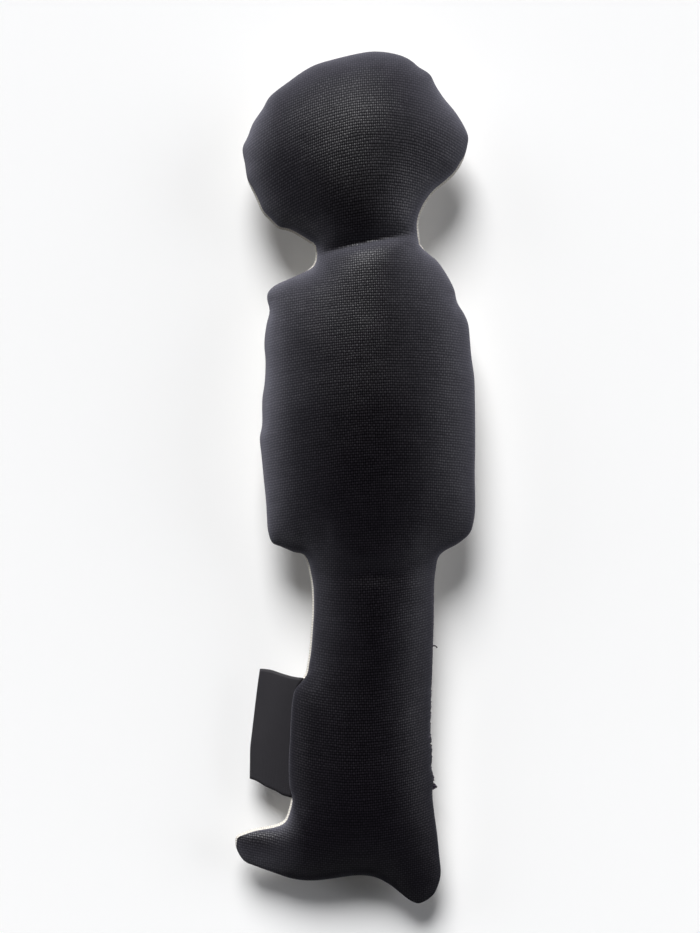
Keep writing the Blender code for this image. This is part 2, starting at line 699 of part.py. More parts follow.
def main():
    clear_scene()
    cloth = Cloth()
    add_wires(cloth)
    channels = add_channels(cloth)
    head_hollow = add_binding(cloth, "head_loop_binding", head_path(), (1.0, 0.0))
    foot_hollow = add_binding(cloth, "foot_loop_binding", foot_path(), (0.0, -1.0))
    extra = {
        "head": [channels["head_channel"], head_hollow],
        "ankle": [channels["foot_channel"]],
        "foot": [channels["foot_channel"], foot_hollow],
    }
    for zone in ZONES:
        add_panel(cloth, zone, zone + "_back_panel", 1)
        add_panel(cloth, zone, zone + "_front_panel", -1)
        add_stuffing(cloth, zone, extra.get(zone, [channels["run_channel"]]))
    add_label(cloth)
    add_closing_thread(cloth)
    finish(cloth)


main()
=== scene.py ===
"""The looks of the bendy doll: stuffed linen, lying face down, with its label, stitches, table and light."""

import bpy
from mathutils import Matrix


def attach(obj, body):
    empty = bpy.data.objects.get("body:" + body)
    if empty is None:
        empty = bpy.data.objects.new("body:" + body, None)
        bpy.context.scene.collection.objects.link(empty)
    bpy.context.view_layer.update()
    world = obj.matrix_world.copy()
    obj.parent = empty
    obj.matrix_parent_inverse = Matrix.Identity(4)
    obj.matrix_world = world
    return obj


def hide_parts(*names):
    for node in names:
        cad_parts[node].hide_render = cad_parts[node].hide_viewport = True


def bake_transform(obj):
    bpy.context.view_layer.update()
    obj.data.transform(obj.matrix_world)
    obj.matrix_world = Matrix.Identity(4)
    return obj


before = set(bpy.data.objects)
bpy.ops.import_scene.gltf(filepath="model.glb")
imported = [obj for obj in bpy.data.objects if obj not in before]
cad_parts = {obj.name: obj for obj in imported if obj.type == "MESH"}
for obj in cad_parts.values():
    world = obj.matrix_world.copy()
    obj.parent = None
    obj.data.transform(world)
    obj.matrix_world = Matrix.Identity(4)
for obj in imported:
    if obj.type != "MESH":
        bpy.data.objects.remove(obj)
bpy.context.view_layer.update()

import math

import bpy
import numpy as np
from mathutils import Vector, noise
from mathutils.geometry import delaunay_2d_cdt
from mathutils.kdtree import KDTree

MM = 0.001

# The doll's outline, in points of the picture, of which one is this long at the height of the side seam
POINT = 0.2268 * MM
MIDDLE = (355.27, 479.27)

HEAD_RIGHT = (
    (371, 52), (385, 52.5), (401, 56), (411, 61), (418, 67), (430, 75), (435, 85), (444, 99), (454, 111),
    (463, 125), (468, 137), (467, 147), (463, 161), (456, 173), (447, 182), (435, 192), (427, 202),
    (421.5, 212.5), (418.6, 223),
)
TORSO_RIGHT = (
    (419, 233), (421.5, 245), (428, 254), (437, 261.5), (447, 276), (454, 290), (457, 303), (464, 314.5),
    (468, 324.5), (469.6, 339), (471, 356), (474, 378), (474.6, 400), (475, 441), (474.6, 475), (475, 508),
    (473, 524), (469, 534), (457, 544), (444, 551), (438, 557.5), (435.7, 569),
)
LEG_RIGHT = (
    (434.5, 579), (434, 594), (434, 619), (433.3, 645), (432.6, 670), (432, 689), (431.5, 712), (431, 729),
    (432, 742), (432.7, 758), (432, 769), (434, 778), (432.7, 792), (434, 809), (437.7, 836), (440, 859),
)
HEEL = (
    (441.4, 874), (440, 884), (435, 896), (427.4, 903), (418.6, 906.5), (410, 903), (401, 896), (391, 888),
    (379, 881), (369, 878.3), (354, 878), (336.5, 880.5), (320, 882.7), (305.7, 883),
)
TOE = (
    (291, 881), (276, 876), (254, 868), (244, 863.6), (237.5, 855), (234.8, 849), (234.8, 839),
    (237.5, 836.5), (254, 830.6), (272.7, 827), (281, 824), (285, 820.3),
)
LEG_LEFT = (
    (288, 812), (290.3, 802), (289.5, 790), (288.5, 768), (290, 735), (292, 703), (296, 687), (305, 674),
    (307, 664), (309, 651), (311, 626), (312, 606.5), (311.5, 587), (310.7, 581), (309, 572), (307, 563),
    (304, 555.5),
)
TORSO_LEFT = (
    (301, 553.5), (294, 552), (287, 549), (280, 546), (273, 543.5), (270.6, 540), (268, 530), (267.4, 524),
    (266, 500), (264, 480), (261.6, 455), (260, 438), (262.4, 425), (262.5, 400), (265, 382), (265.7, 361),
    (264.5, 344), (266.5, 326), (269.8, 311), (267.4, 300), (268, 293), (275, 286), (290, 279), (303, 273),
    (313, 265),
)
HEAD_LEFT = (
    (315.4, 255), (313, 246.5), (301, 238), (289, 231.5), (278.5, 229), (270, 221), (262, 212.5), (256, 199),
    (248, 181.5), (245, 164), (242.7, 149), (248, 137), (253, 124), (263, 109), (270, 97), (289, 82),
    (303, 72), (316, 65), (340.5, 58), (358, 54),
)

# Stretches of the seam that have rolled up, so that a sliver of the front shows from behind
ROLLED = (
    ((258, 205), (313, 248)), ((419, 228), (452, 178)), ((310, 577), (308, 668)), ((250, 832), (287, 816)),
)

# Creases in the back, from end to end
NECK_CREASE = ((312, 256.5), (421, 233.5))
HIP_CREASE = ((306, 573), (438, 569))

# Height of the side seam over the table, from crown to sole
SEAM_STATIONS = (
    (96.9, 10.5), (49.25, 11.0), (15.72, 11.6), (-20.34, 10.6), (-39.17, 8.9), (-75.24, 8.2), (-96.9, 6.9),
)

# Where the cloth is parted: each level lies where the pieces on both sides move with one body
LEVELS = {"head": 52.9 * MM, "neck": 41.0 * MM, "torso": -8.0 * MM, "hip": -29.85 * MM, "knee": -60.0 * MM}

WIRE_X = 2.729 * MM
SEAM_Z = 10.5 * MM


def spot(x, y):
    """A point of the picture in the doll's frame."""
    return np.array(((x - MIDDLE[0]) * POINT, (MIDDLE[1] - y) * POINT))


def smooth_step(value):
    """Eases from nothing to one as the value goes from nothing to one."""
    value = np.clip(value, 0, 1)
    return value * value * (3 - 2 * value)


def seam_height(level):
    """The height of the side seam over the table at a level of the doll."""
    stations = np.array(SEAM_STATIONS)[::-1] * MM
    return np.interp(level, stations[:, 0], stations[:, 1])


# The flat pattern, as a mesh with rings of points along the seam and a finer grid at the neck's crease

SEAM_STEP = 0.8 * MM
RINGS = (0.12 * MM, 0.42 * MM, 1.0 * MM, 2.0 * MM)
RING_STEP_SHARES = (0.9, 1.0, 1.2, 1.5)
RING_APART_SHARES = (0.5, 0.6, 0.75, 0.85)
RING_DEPTH_SHARE = 0.8
RING_THIN_SHARE = 0.8
RING_FROM_LEVEL_SHARE = 0.8
RING_FROM_ROW_SHARE = 0.7
GRID = 1.45 * MM
FINE_GRID = 0.8 * MM
FINE_REACH = 3 * MM
END_CLEAR_SHARE = 0.35
GRID_FROM_RING_SHARE = 0.45
GRID_APART_SHARE = 0.62
SAME_POINT = 1e-7


def curve_part(a, b, c, d, share):
    """A point between b and c on the smooth curve through all four."""
    before, here, after = (np.linalg.norm(q - p) for p, q in ((a, b), (b, c), (c, d)))
    lean_b = (c - a) * here / (before + here)
    lean_c = (d - b) * here / (here + after)
    end_b = b * (1 + 2 * share) * (1 - share) ** 2 + lean_b * share * (1 - share) ** 2
    end_c = c * (3 - 2 * share) * share ** 2 - lean_c * (1 - share) * share ** 2
    return end_b + end_c


def rounded(points, step):
    """A smooth closed line through the points, in pieces of about one step."""
    line = []
    count = len(points)
    for i in range(count):
        a, b, c, d = (points[(i + k) % count] for k in (-1, 0, 1, 2))
        pieces = max(1, round(np.linalg.norm(c - b) / step))
        line += [curve_part(a, b, c, d, share) for share in np.arange(pieces) / pieces]
    return np.array(line)


def evenly(points, count):
    """Evenly spaced points on the smooth open curve through the given ones."""
    points = np.array(points, float)
    run = np.vstack([2 * points[0] - points[1], points, 2 * points[-1] - points[-2]])
    line = [curve_part(*run[i: i + 4], share) for i in range(len(points) - 1) for share in np.arange(8) / 8]
    line = np.array([*line, points[-1]])
    far = np.concatenate([[0], np.cumsum(np.linalg.norm(np.diff(line, axis=0), axis=1))])
    at = np.linspace(0, far[-1], count)
    return np.column_stack([np.interp(at, far, line[:, k]) for k in range(line.shape[1])])


def outline():
    """The doll's seam seen from above, anticlockwise from the crown."""
    parts = (HEAD_RIGHT, TORSO_RIGHT, LEG_RIGHT, HEEL, TOE, LEG_LEFT, TORSO_LEFT, HEAD_LEFT)
    points = [spot(x, y) for part in parts for x, y in part]
    return rounded(np.array(points)[::-1], SEAM_STEP)


def inward(line):
    """The direction into the doll at each point of its outline, evened out over its neighbours."""
    run = np.roll(line, -1, axis=0) - np.roll(line, 1, axis=0)
    turned = np.column_stack([-run[:, 1], run[:, 0]])
    for _ in range(2):
        turned = turned + (np.roll(turned, 1, axis=0) + np.roll(turned, -1, axis=0)) / 2
    return turned / np.linalg.norm(turned, axis=1)[:, None]


def depth(points, line):
    """How far each point lies inside the outline, negative outside."""
    start, end = line, np.roll(line, -1, axis=0)
    run = end - start
    found = np.empty(len(points))
    for i, point in enumerate(points):
        along = np.clip(((point - start) * run).sum(axis=1) / (run * run).sum(axis=1), 0, 1)
        away = np.linalg.norm(point - start - run * along[:, None], axis=1).min()
        over = (start[:, 1] > point[1]) != (end[:, 1] > point[1])
        cross = start[over, 0] + (point[1] - start[over, 1]) * run[over, 0] / run[over, 1]
        found[i] = away if (cross > point[0]).sum() % 2 else -away
    return found


def staggered(step, low, high):
    """A staggered grid of points between two corners."""
    rise = step * math.sqrt(0.75)
    rows = np.arange(low[1], high[1], rise)
    return np.array([
        (x, y) for k, y in enumerate(rows) for x in np.arange(low[0] + (k % 2) * step / 2, high[0], step)
    ])


def spaced(wanted, kept, apart):
    """The wanted points that keep their distance from all points kept so far."""
    tree = KDTree(len(kept))
    for i, point in enumerate(kept):
        tree.insert((*point, 0.0), i)
    tree.balance()
    return [point for point in wanted if tree.find((*point, 0.0))[2] > apart]


def crossing_rows(line):
    """Evenly spread points across the doll at each level where the cloth is parted."""
    rows = []
    start, end = line, np.roll(line, -1, axis=0)
    run = end - start
    insets = np.array(RINGS)
    for level in LEVELS.values():
        over = np.flatnonzero((start[:, 1] > level) != (end[:, 1] > level))
        cross = np.sort([start[i][0] + (level - start[i][1]) * run[i][0] / run[i][1] for i in over])
        left, right = cross[0], cross[-1]
        middle = np.linspace(left + RINGS[-1], right - RINGS[-1], round((right - left) / GRID))
        xs = [left, *(left + insets[:-1]), *middle, *(right - insets[:-1][::-1]), right]
        rows.append([np.array((x, level)) for x in xs])
    return rows


def near_crease(points):
    """How far each point lies across the neck crease; the head's side is positive."""
    start, end = spot(*NECK_CREASE[0]), spot(*NECK_CREASE[1])
    run = (end - start) / np.linalg.norm(end - start)
    off = points - start
    return off[:, 1] * run[0] - off[:, 0] * run[1]


def off_levels(points, clear):
    """The points that keep clear of every level where the cloth is parted."""
    return [point for point in points if min(abs(point[1] - level) for level in LEVELS.values()) > clear]


def with_ends(line, ends):
    """The outline with a point at both ends of each row."""
    line = list(line)
    for end in ends:
        gaps = [np.linalg.norm(end - a) + np.linalg.norm(end - b) - np.linalg.norm(b - a)
                for a, b in zip(line, line[1:] + line[:1])]
        at = int(np.argmin(gaps))
        line.insert(at + 1, end)
        for near in (at + 2, at):
            near %= len(line)
            if np.linalg.norm(line[near] - end) < SEAM_STEP * END_CLEAR_SHARE:
                line.pop(near)
    return np.array(line)


def thinned(ring, step):
    """The ring without the points that follow too closely on the one before."""
    kept = [ring[0]]
    for point in ring[1:]:
        if np.linalg.norm(point - kept[-1]) > step * RING_THIN_SHARE:
            kept.append(point)
    return kept


def ring_points(line, row_points):
    """Points along lines set in from the seam, wider apart the deeper they lie."""
    into = inward(line)
    points = []
    for inset, step_share, apart_share in zip(RINGS, RING_STEP_SHARES, RING_APART_SHARES):
        ring = line + into * inset
        ring = thinned(ring[depth(ring, line) > inset * RING_DEPTH_SHARE], SEAM_STEP * step_share)
        apart = SEAM_STEP * apart_share
        clear = off_levels(ring, apart * RING_FROM_LEVEL_SHARE)
        points += spaced(clear, row_points, apart * RING_FROM_ROW_SHARE)
    return points


def add_grid_points(line, kept):
    """Fills the inside with points, finest along the neck's crease."""
    corners = line.min(axis=0), line.max(axis=0)
    fine = staggered(FINE_GRID, *corners)
    fine = fine[np.abs(near_crease(fine)) < FINE_REACH]
    for grid, step in ((fine, FINE_GRID), (staggered(GRID, *corners), GRID)):
        clear = step * GRID_FROM_RING_SHARE
        grid = grid[depth(grid, line) > RINGS[-1] + clear]
        kept += spaced(off_levels(grid, clear), kept, step * GRID_APART_SHARE)


def lasting_edges(border, rows):
    """The edges that the mesh must keep: the seam, and each level where the cloth is parted."""
    count = len(border)
    edges = [(i, (i + 1) % count) for i in range(count)]
    first = count
    for row in rows:
        left, right = (int(np.argmin(np.linalg.norm(border - end, axis=1))) for end in (row[0], row[-1]))
        after = first + len(row) - 2
        chain = [left, *range(first, after), right]
        edges += list(zip(chain, chain[1:]))
        first = after
    return edges


class Pattern:
    """The flat pattern as a mesh, with the points that lie on the seam and how deep each point lies."""

    def __init__(self):
        line = outline()
        rows = crossing_rows(line)
        row_points = [point for row in rows for point in row[1:-1]]
        border = with_ends(line, [point for row in rows for point in (row[0], row[-1])])
        kept = [*border, *row_points, *ring_points(line, row_points)]
        add_grid_points(line, kept)
        edges = lasting_edges(border, rows)
        made = delaunay_2d_cdt([tuple(point) for point in kept], edges, [], 1, SAME_POINT)
        origins = [min(origin) if origin else -1 for origin in made[3]]
        self.flat = np.array([tuple(point) for point in made[0]])
        self.faces = np.array(made[2])
        self.seam = np.array([0 <= origin < len(border) for origin in origins])
        self.line = border
        self.deep = np.where(self.seam, 0.0, depth(self.flat, border))


# Pulling the pattern into its stuffed form

SETTLED_SHARE = 1e-9

# How thick the doll is from the seam out, how round, and where it is fuller
HALF_THICK = 12.1 * MM
SWELL_SHARE = 0.54
HEAD_FULLER_SHARE = 0.1
HEAD_FULLER_FROM = 15.72 * MM
HEAD_FULLER_TO = 74.9 * MM
LEG_FULLER_SHARE = 0.1
LEG_FULL_AT = -36 * MM
LEG_FULL_LONG = 9 * MM

# Gathers that run in from the seam, higher where the seam turns inwards, and broad bumps between them
PUCKER = 0.16 * MM
HOLLOW_PUCKER = 0.4 * MM
HOLLOW_STEPS = 4
HOLLOW_ROUNDS = 6
HOLLOW_FULL = 8 * MM
PUCKER_RUN_SHARE = 0.35
PUCKER_APART = 2.6 * MM
WIDE_PUCKER_APART = 4.7 * MM
WIDE_PUCKER_SHARE = 0.6
PUCKER_REACH = 3.2 * MM
PUCKER_START = 0.8 * MM
BROAD_BUMP = 0.22 * MM
BROAD_APART = 11 * MM
BROAD_START = 4 * MM
RISE_START = 1 * MM

# The creases in the back, of which the front shows a share
NECK_CREASE_ABOVE = 3.0 * MM
NECK_CREASE_BELOW = 2.0 * MM
NECK_CREASE_ROUND = 0.35 * MM
NECK_CREASE_SHARE = 0.3
HIP_CREASE_SHARE = 0.09
HIP_CREASE_WIDE = 2.6 * MM
FRONT_CREASE_SHARE = 0.35

# The side seam: its raised lips, the groove between them, where it rolls up and where it is closed by hand
LIP_RISE = 0.5 * MM
LIP_OUT = 0.08 * MM
LIP_WIDE_SHARE = 1.5
GROOVE = 0.3 * MM
ROLL = 0.5 * MM
ROLL_RISE = 0.4 * MM
ROLL_DEEP = 1.2 * MM
ROLL_FADE = 3 * MM
ROLL_REACH_SHARE = 2.2
CLOSING_TOP = -47.8 * MM
CLOSING_BOTTOM = -69.4 * MM
CLOSING_DENT = 0.2 * MM
CLOSING_DENT_DEEP = 1.4 * MM
STITCH = 2.5 * MM
REST_ROUND = 0.6 * MM


class Pull:
    """The pull between neighbouring points of a mesh, by which it settles like an even skin."""

    def __init__(self, points, faces):
        self.count = len(points)
        self.faces = faces
        a = np.concatenate([faces[:, 0], faces[:, 1], faces[:, 2]])
        b = np.concatenate([faces[:, 1], faces[:, 2], faces[:, 0]])
        c = np.concatenate([faces[:, 2], faces[:, 0], faces[:, 1]])
        u, v = points[a] - points[c], points[b] - points[c]
        cross = np.linalg.norm(np.cross(u, v), axis=1)
        self.a, self.b = a, b
        self.strength = (u * v).sum(axis=1) / cross / 2
        self.area = cross[: len(faces)] / 2

    def spread(self, flow):
        """What flows out of each point, given what flows along each edge."""
        return np.bincount(self.a, flow, self.count) - np.bincount(self.b, flow, self.count)

    def settle(self, push, held):
        """Values at which every point's pulls balance its push; held points stay at zero."""
        own = np.bincount(self.a, self.strength, self.count) + np.bincount(self.b, self.strength, self.count)
        ease = np.where(held, 0.0, 1 / own)
        value = np.zeros(self.count)
        left = np.where(held, 0.0, push)
        eased = ease * left
        way = eased.copy()
        size = left @ eased
        first = size
        while size > first * SETTLED_SHARE:
            pulled = np.where(held, 0.0, self.spread(self.strength * (way[self.a] - way[self.b])))
            step = size / (way @ pulled)
            value += step * way
            left -= step * pulled
            eased = ease * left
            size, before = left @ eased, size
            way = eased + way * size / before
        return value

    def pressed(self):
        """An even push on every face, shared out to its points."""
        push = np.zeros(self.count)
        for k in range(3):
            push += np.bincount(self.faces[:, k], self.area / 3, self.count)
        return push


def bumps(points, size, seed):
    """Even, gentle noise of about one either way at each point, with features of the given size."""
    return np.array([noise.noise(Vector((x / size, y / size, seed))) for x, y in points])


def rested(level):
    """The level of the cloth, flattened out where it would go through the table."""
    return np.where(level > REST_ROUND, level, REST_ROUND * np.exp(np.minimum(level / REST_ROUND - 1, 0)))


def away_from(points, ends):
    """How far each point lies from the straight line between two points of the picture."""
    a, b = spot(*ends[0]), spot(*ends[1])
    along = np.clip((points - a) @ (b - a) / ((b - a) @ (b - a)), 0, 1)
    return np.linalg.norm(points - a - along[:, None] * (b - a), axis=1)


def rolled_up(points, ends):
    """One beside a rolled stretch of the seam, fading out beyond it."""
    return smooth_step((ROLL_FADE * ROLL_REACH_SHARE - away_from(points, ends)) / ROLL_FADE)


class Form:
    """The stuffed doll: where every point of the back and of the front lies."""

    def __init__(self, pattern):
        flat, faces = pattern.flat, pattern.faces
        film = Pull(np.column_stack([flat, np.zeros(len(flat))]), faces)
        film = film.settle(film.pressed(), pattern.seam)
        film = film / film.max()
        over = smooth_step((flat[:, 1] - HEAD_FULLER_FROM) / (HEAD_FULLER_TO - HEAD_FULLER_FROM))
        self.swell = HALF_THICK * film ** SWELL_SHARE * (1 + HEAD_FULLER_SHARE * over)
        self.swell *= 1 + LEG_FULLER_SHARE * np.exp(-(((flat[:, 1] - LEG_FULL_AT) / LEG_FULL_LONG) ** 2))
        self.pattern = pattern
        self.into = inward(pattern.line)
        nearest = self.nearest_seam()
        self.beside = pattern.line[nearest]
        self.seam_into = self.into[nearest]
        self.along = self.run_of_seam()[nearest]
        self.hollow = self.bend_of_seam()[nearest]
        self.back = self.side(1)
        self.front = self.side(-1)

    def nearest_seam(self):
        """The number of the seam's point that lies nearest to each point."""
        line = self.pattern.line
        tree = KDTree(len(line))
        for i, point in enumerate(line):
            tree.insert((*point, 0.0), i)
        tree.balance()
        return np.array([tree.find((*point, 0.0))[1] for point in self.pattern.flat])

    def run_of_seam(self):
        """How far along the seam each of its points lies."""
        line = self.pattern.line
        steps = np.linalg.norm(line - np.roll(line, 1, axis=0), axis=1)
        return np.cumsum(steps)

    def bend_of_seam(self):
        """How much the seam turns the wrong way, as in a neck, from none to one."""
        change, run = (np.roll(one, -HOLLOW_STEPS, axis=0) - np.roll(one, HOLLOW_STEPS, axis=0)
                       for one in (self.into, self.pattern.line))
        bend = (change * run).sum(axis=1) / (run * run).sum(axis=1)
        for _ in range(HOLLOW_ROUNDS):
            bend = (np.roll(bend, 1) + bend * 2 + np.roll(bend, -1)) / 4
        return np.clip(bend * HOLLOW_FULL, 0, 1)

    def puckers(self, side):
        """Small gathers that run in from the seam, deepest where it turns inwards."""
        deep = self.pattern.deep
        seed = 3.1 if side > 0 else 8.7
        runs = np.column_stack([self.along, deep * PUCKER_RUN_SHARE])
        small = bumps(runs, PUCKER_APART, seed) + WIDE_PUCKER_SHARE * bumps(runs, WIDE_PUCKER_APART, seed + 5)
        reach = np.exp(-deep / PUCKER_REACH) * smooth_step(deep / PUCKER_START)
        broad = bumps(self.pattern.flat, BROAD_APART, seed + 9) * smooth_step(deep / BROAD_START)
        return (PUCKER + HOLLOW_PUCKER * self.hollow) * small * reach + BROAD_BUMP * broad

    def stitch_pull(self):
        """One where a closing stitch draws the right side seam in, nothing between the stitches."""
        level = self.beside[:, 1]
        closed = (self.beside[:, 0] > WIRE_X) & (level < CLOSING_TOP + STITCH / 4) & (level > CLOSING_BOTTOM)
        pull = np.clip(np.cos((CLOSING_TOP - level) / STITCH * 2 * math.pi), 0, 1)
        return np.where(closed, pull, 0.0)

    def creases(self):
        """Valleys in the back at the neck and the hip."""
        flat = self.pattern.flat
        across = near_crease(flat)
        wide = np.where(across > 0, NECK_CREASE_ABOVE, NECK_CREASE_BELOW)
        neck = np.exp(-(np.sqrt(across ** 2 + NECK_CREASE_ROUND ** 2) - NECK_CREASE_ROUND) / wide)
        hip = np.exp(-((away_from(flat, HIP_CREASE) / HIP_CREASE_WIDE) ** 2))
        return (NECK_CREASE_SHARE * neck + HIP_CREASE_SHARE * hip) * self.swell

    def rise(self, side, lip):
        """How far the back or the front stands off the level of the seam."""
        rise = self.swell + self.puckers(side) * smooth_step(self.pattern.deep / RISE_START)
        rise = rise - self.creases() * (1 if side > 0 else FRONT_CREASE_SHARE)
        rise = np.where(lip, LIP_RISE, np.maximum(rise, 0.0))
        return np.where(self.pattern.seam, 0.0, rise)

    def side(self, side):
        """The points of the back, side 1, or of the front, side -1."""
        flat, deep, seam = self.pattern.flat, self.pattern.deep, self.pattern.seam
        lip = (deep > 0) & (deep < RINGS[0] * LIP_WIDE_SHARE)
        drawn_in = CLOSING_DENT * self.stitch_pull() * np.exp(-deep / CLOSING_DENT_DEEP)
        rolled = np.max([rolled_up(self.beside, ends) for ends in ROLLED], axis=0)
        near = np.exp(-deep / ROLL_DEEP)
        shift = np.where(seam, GROOVE, np.where(lip, -deep - LIP_OUT, 0.0))
        shift = shift + drawn_in + rolled * ROLL * near * np.where(seam, 1.0, 1.0 if side > 0 else 0.0)
        plan = flat + self.seam_into * shift[:, None]
        level = seam_height(flat[:, 1]) + rolled * ROLL_RISE * near + side * self.rise(side, lip)
        return np.column_stack([plan, rested(level)])


# The skin


def add_mesh(name, points, faces):
    """An object made of points and faces."""
    mesh = bpy.data.meshes.new(name)
    mesh.from_pydata([tuple(point) for point in points], [], [tuple(face) for face in faces])
    mesh.update()
    obj = bpy.data.objects.new(name, mesh)
    bpy.context.scene.collection.objects.link(obj)
    return obj


class Skin:
    """Back and front sewn into one closed skin, with the flat place of every point."""

    def __init__(self, pattern, form):
        count = len(pattern.flat)
        under = np.where(pattern.seam, np.arange(count), np.arange(count) + count)
        seam_points = np.where(pattern.seam[:, None], (form.back + form.front) / 2, form.back)
        points = np.vstack([seam_points, form.front])
        back = pattern.faces
        front = under[pattern.faces[:, ::-1]]
        used = np.unique(np.concatenate([back.ravel(), front.ravel()]))
        number = np.zeros(2 * count, int)
        number[used] = np.arange(len(used))
        self.points = points[used]
        self.faces = number[np.vstack([back, front])]
        self.flat = np.vstack([pattern.flat, pattern.flat])[used]
        self.seam = np.concatenate([pattern.seam, pattern.seam])[used]
        self.back_faces = len(back)
        # The skin's point for each point of the pattern, on the back and on the front
        self.back_of = number[:count]
        self.front_of = number[under]


# How the crosswise threads bow over head, torso and leg: the middle, the slope far out, how soon it comes
BOWS = ((6.3 * MM, -0.45, 18 * MM), (12 * MM, -0.26, 40 * MM), (-1.2 * MM, 0.2, 12 * MM))
BOW_CHANGES = (53 * MM, -21 * MM)
BOW_CHANGE_LONG = 14 * MM
THREADS_LEAN = 0.05
HEAD_OPENER_SHARE = 0.1


def thread_places(points, faces):
    """Where every point lies in the unstuffed cloth: across the threads, and along them."""
    pull = Pull(points, faces)
    normal = np.cross(points[faces[:, 1]] - points[faces[:, 0]], points[faces[:, 2]] - points[faces[:, 0]])
    normal /= np.linalg.norm(normal, axis=1)[:, None]
    ways = points[pull.a] - points[pull.b]
    places = []
    for axis in np.eye(3)[:2]:
        thread = axis - normal * (normal @ axis)[:, None]
        thread /= np.linalg.norm(thread, axis=1)[:, None] + 1e-9
        rise = (ways * np.tile(thread, (3, 1))).sum(axis=1)
        place = pull.settle(pull.spread(pull.strength * rise), np.zeros(len(points), bool))
        middle = np.argmin(np.linalg.norm(points[:, :2] - (WIRE_X, 0.0), axis=1))
        places.append(place - place[middle] + points[middle] @ axis)
    return woven_askew(*places)


def woven_askew(x, y):
    """The threads as they run in this cloth: its rows bow up over the head and torso and sag over the leg."""
    head, torso, leg = (
        slope * reach * (np.sqrt(1 + ((x - middle) / reach) ** 2) - 1) for middle, slope, reach in BOWS
    )
    over_neck, over_hip = (smooth_step((y - level) / BOW_CHANGE_LONG + 0.5) for level in BOW_CHANGES)
    bow = leg + (torso - leg) * over_hip + (head - torso) * over_neck
    opened = HEAD_OPENER_SHARE * np.maximum(y - BOW_CHANGES[0], 0)
    return np.column_stack([x + THREADS_LEAN * y, y - bow - opened])


def shade_smooth(obj):
    for face in obj.data.polygons:
        face.use_smooth = True


def add_skin(skin):
    """The whole skin as one object, which knows the panel of every face."""
    obj = add_mesh("doll_skin", skin.points, skin.faces)
    panel = obj.data.attributes.new("panel", "INT", "FACE")
    panel.data.foreach_set("value", np.repeat([0, 1], [skin.back_faces, len(skin.faces) - skin.back_faces]))
    shade_smooth(obj)
    return obj


def mesh_points(mesh):
    points = np.empty(len(mesh.vertices) * 3)
    mesh.vertices.foreach_get("co", points)
    return points.reshape(-1, 3)


# Pressing the stuffing against the cloth, in a doll made larger for it. No point moves further than the most
PRESS_SCALE = 3.0
PRESS_FRAMES = 20
MOST_PRESSED = 0.6 * MM
LINEN_UNDER_PRESSURE = {
    "quality": 5, "mass": 0.3, "tension_stiffness": 20, "compression_stiffness": 20, "shear_stiffness": 8,
    "bending_stiffness": 0.15, "use_pressure": True, "uniform_pressure_force": 4, "vertex_group_mass": "seam",
}


def inflated(obj, skin):
    """The skin's points once the stuffing presses out the cloth, so that it strains as sewn linen does."""
    obj.data.vertices.foreach_set("co", (skin.points * PRESS_SCALE).ravel())
    obj.data.update()
    held = obj.vertex_groups.new(name="seam")
    held.add([int(i) for i in np.flatnonzero(skin.seam)], 1.0, "REPLACE")
    stuffing = obj.modifiers.new("stuffing", "CLOTH")
    for setting, value in LINEN_UNDER_PRESSURE.items():
        setattr(stuffing.settings, setting, value)
    stuffing.settings.effector_weights.gravity = 0
    stuffing.collision_settings.use_collision = False
    scene = bpy.context.scene
    for step in range(1, PRESS_FRAMES + 1):
        scene.frame_set(step)
    shown = obj.evaluated_get(bpy.context.evaluated_depsgraph_get())
    pressed = mesh_points(shown.data) / PRESS_SCALE
    obj.modifiers.remove(stuffing)
    scene.frame_set(1)
    return gently_moved(skin.points, pressed)


def gently_moved(points, pressed):
    """The points moved towards their pressed places, none further than the most and none below the table."""
    moved = pressed - points
    far = np.linalg.norm(moved, axis=1)
    share = np.tanh(far / MOST_PRESSED) * MOST_PRESSED / np.maximum(far, 1e-9)
    points = points + moved * share[:, None]
    points[:, 2] = rested(points[:, 2])
    return points


def finer(obj):
    """One round of subdivision, kept in the mesh."""
    smooth = obj.modifiers.new("smooth", "SUBSURF")
    smooth.levels = smooth.render_levels = 1
    smooth.use_limit_surface = False
    view = bpy.context.evaluated_depsgraph_get()
    shown = obj.evaluated_get(view)
    mesh = bpy.data.meshes.new_from_object(shown, preserve_all_data_layers=True, depsgraph=view)
    obj.modifiers.remove(smooth)
    obj.data = mesh
    return obj


def woven_places(skin):
    """The place in the threads of every point of the skin; on the seam the back's threads count."""
    places = np.zeros((len(skin.points), 3))
    for half in (skin.faces[skin.back_faces:], skin.faces[: skin.back_faces]):
        used, own = np.unique(half, return_inverse=True)
        places[used, :2] = thread_places(skin.points[used], own.reshape(-1, 3))
    return places


def add_stuffed_skin(skin):
    """The skin pressed out by its stuffing, as a fine mesh whose points keep their flat and woven places."""
    obj = add_skin(skin)
    skin.points = inflated(obj, skin)
    obj.data.vertices.foreach_set("co", skin.points.ravel())
    flat = np.column_stack([skin.flat, np.zeros(len(skin.flat))])
    for name, places in (("flat", flat), ("threads", woven_places(skin))):
        attribute = obj.data.attributes.new(name, "FLOAT_VECTOR", "POINT")
        attribute.data.foreach_set("vector", places.ravel())
    obj.data.update()
    return finer(obj)


# The stretches of cloth, and the parts of the model that each stands for

STRETCHES = ("head", "neck", "torso", "hip", "knee", "foot")
STANDS_FOR = {
    "head": ("head", "neck"), "neck": ("neck",), "torso": ("chest", "waist", "pelvis"), "hip": ("hip",),
    "knee": ("thigh", "knee", "shin"), "foot": ("ankle", "foot"),
}


def bend(obj, stretch):
    """Bakes the piece's place into its points."""
    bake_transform(obj)


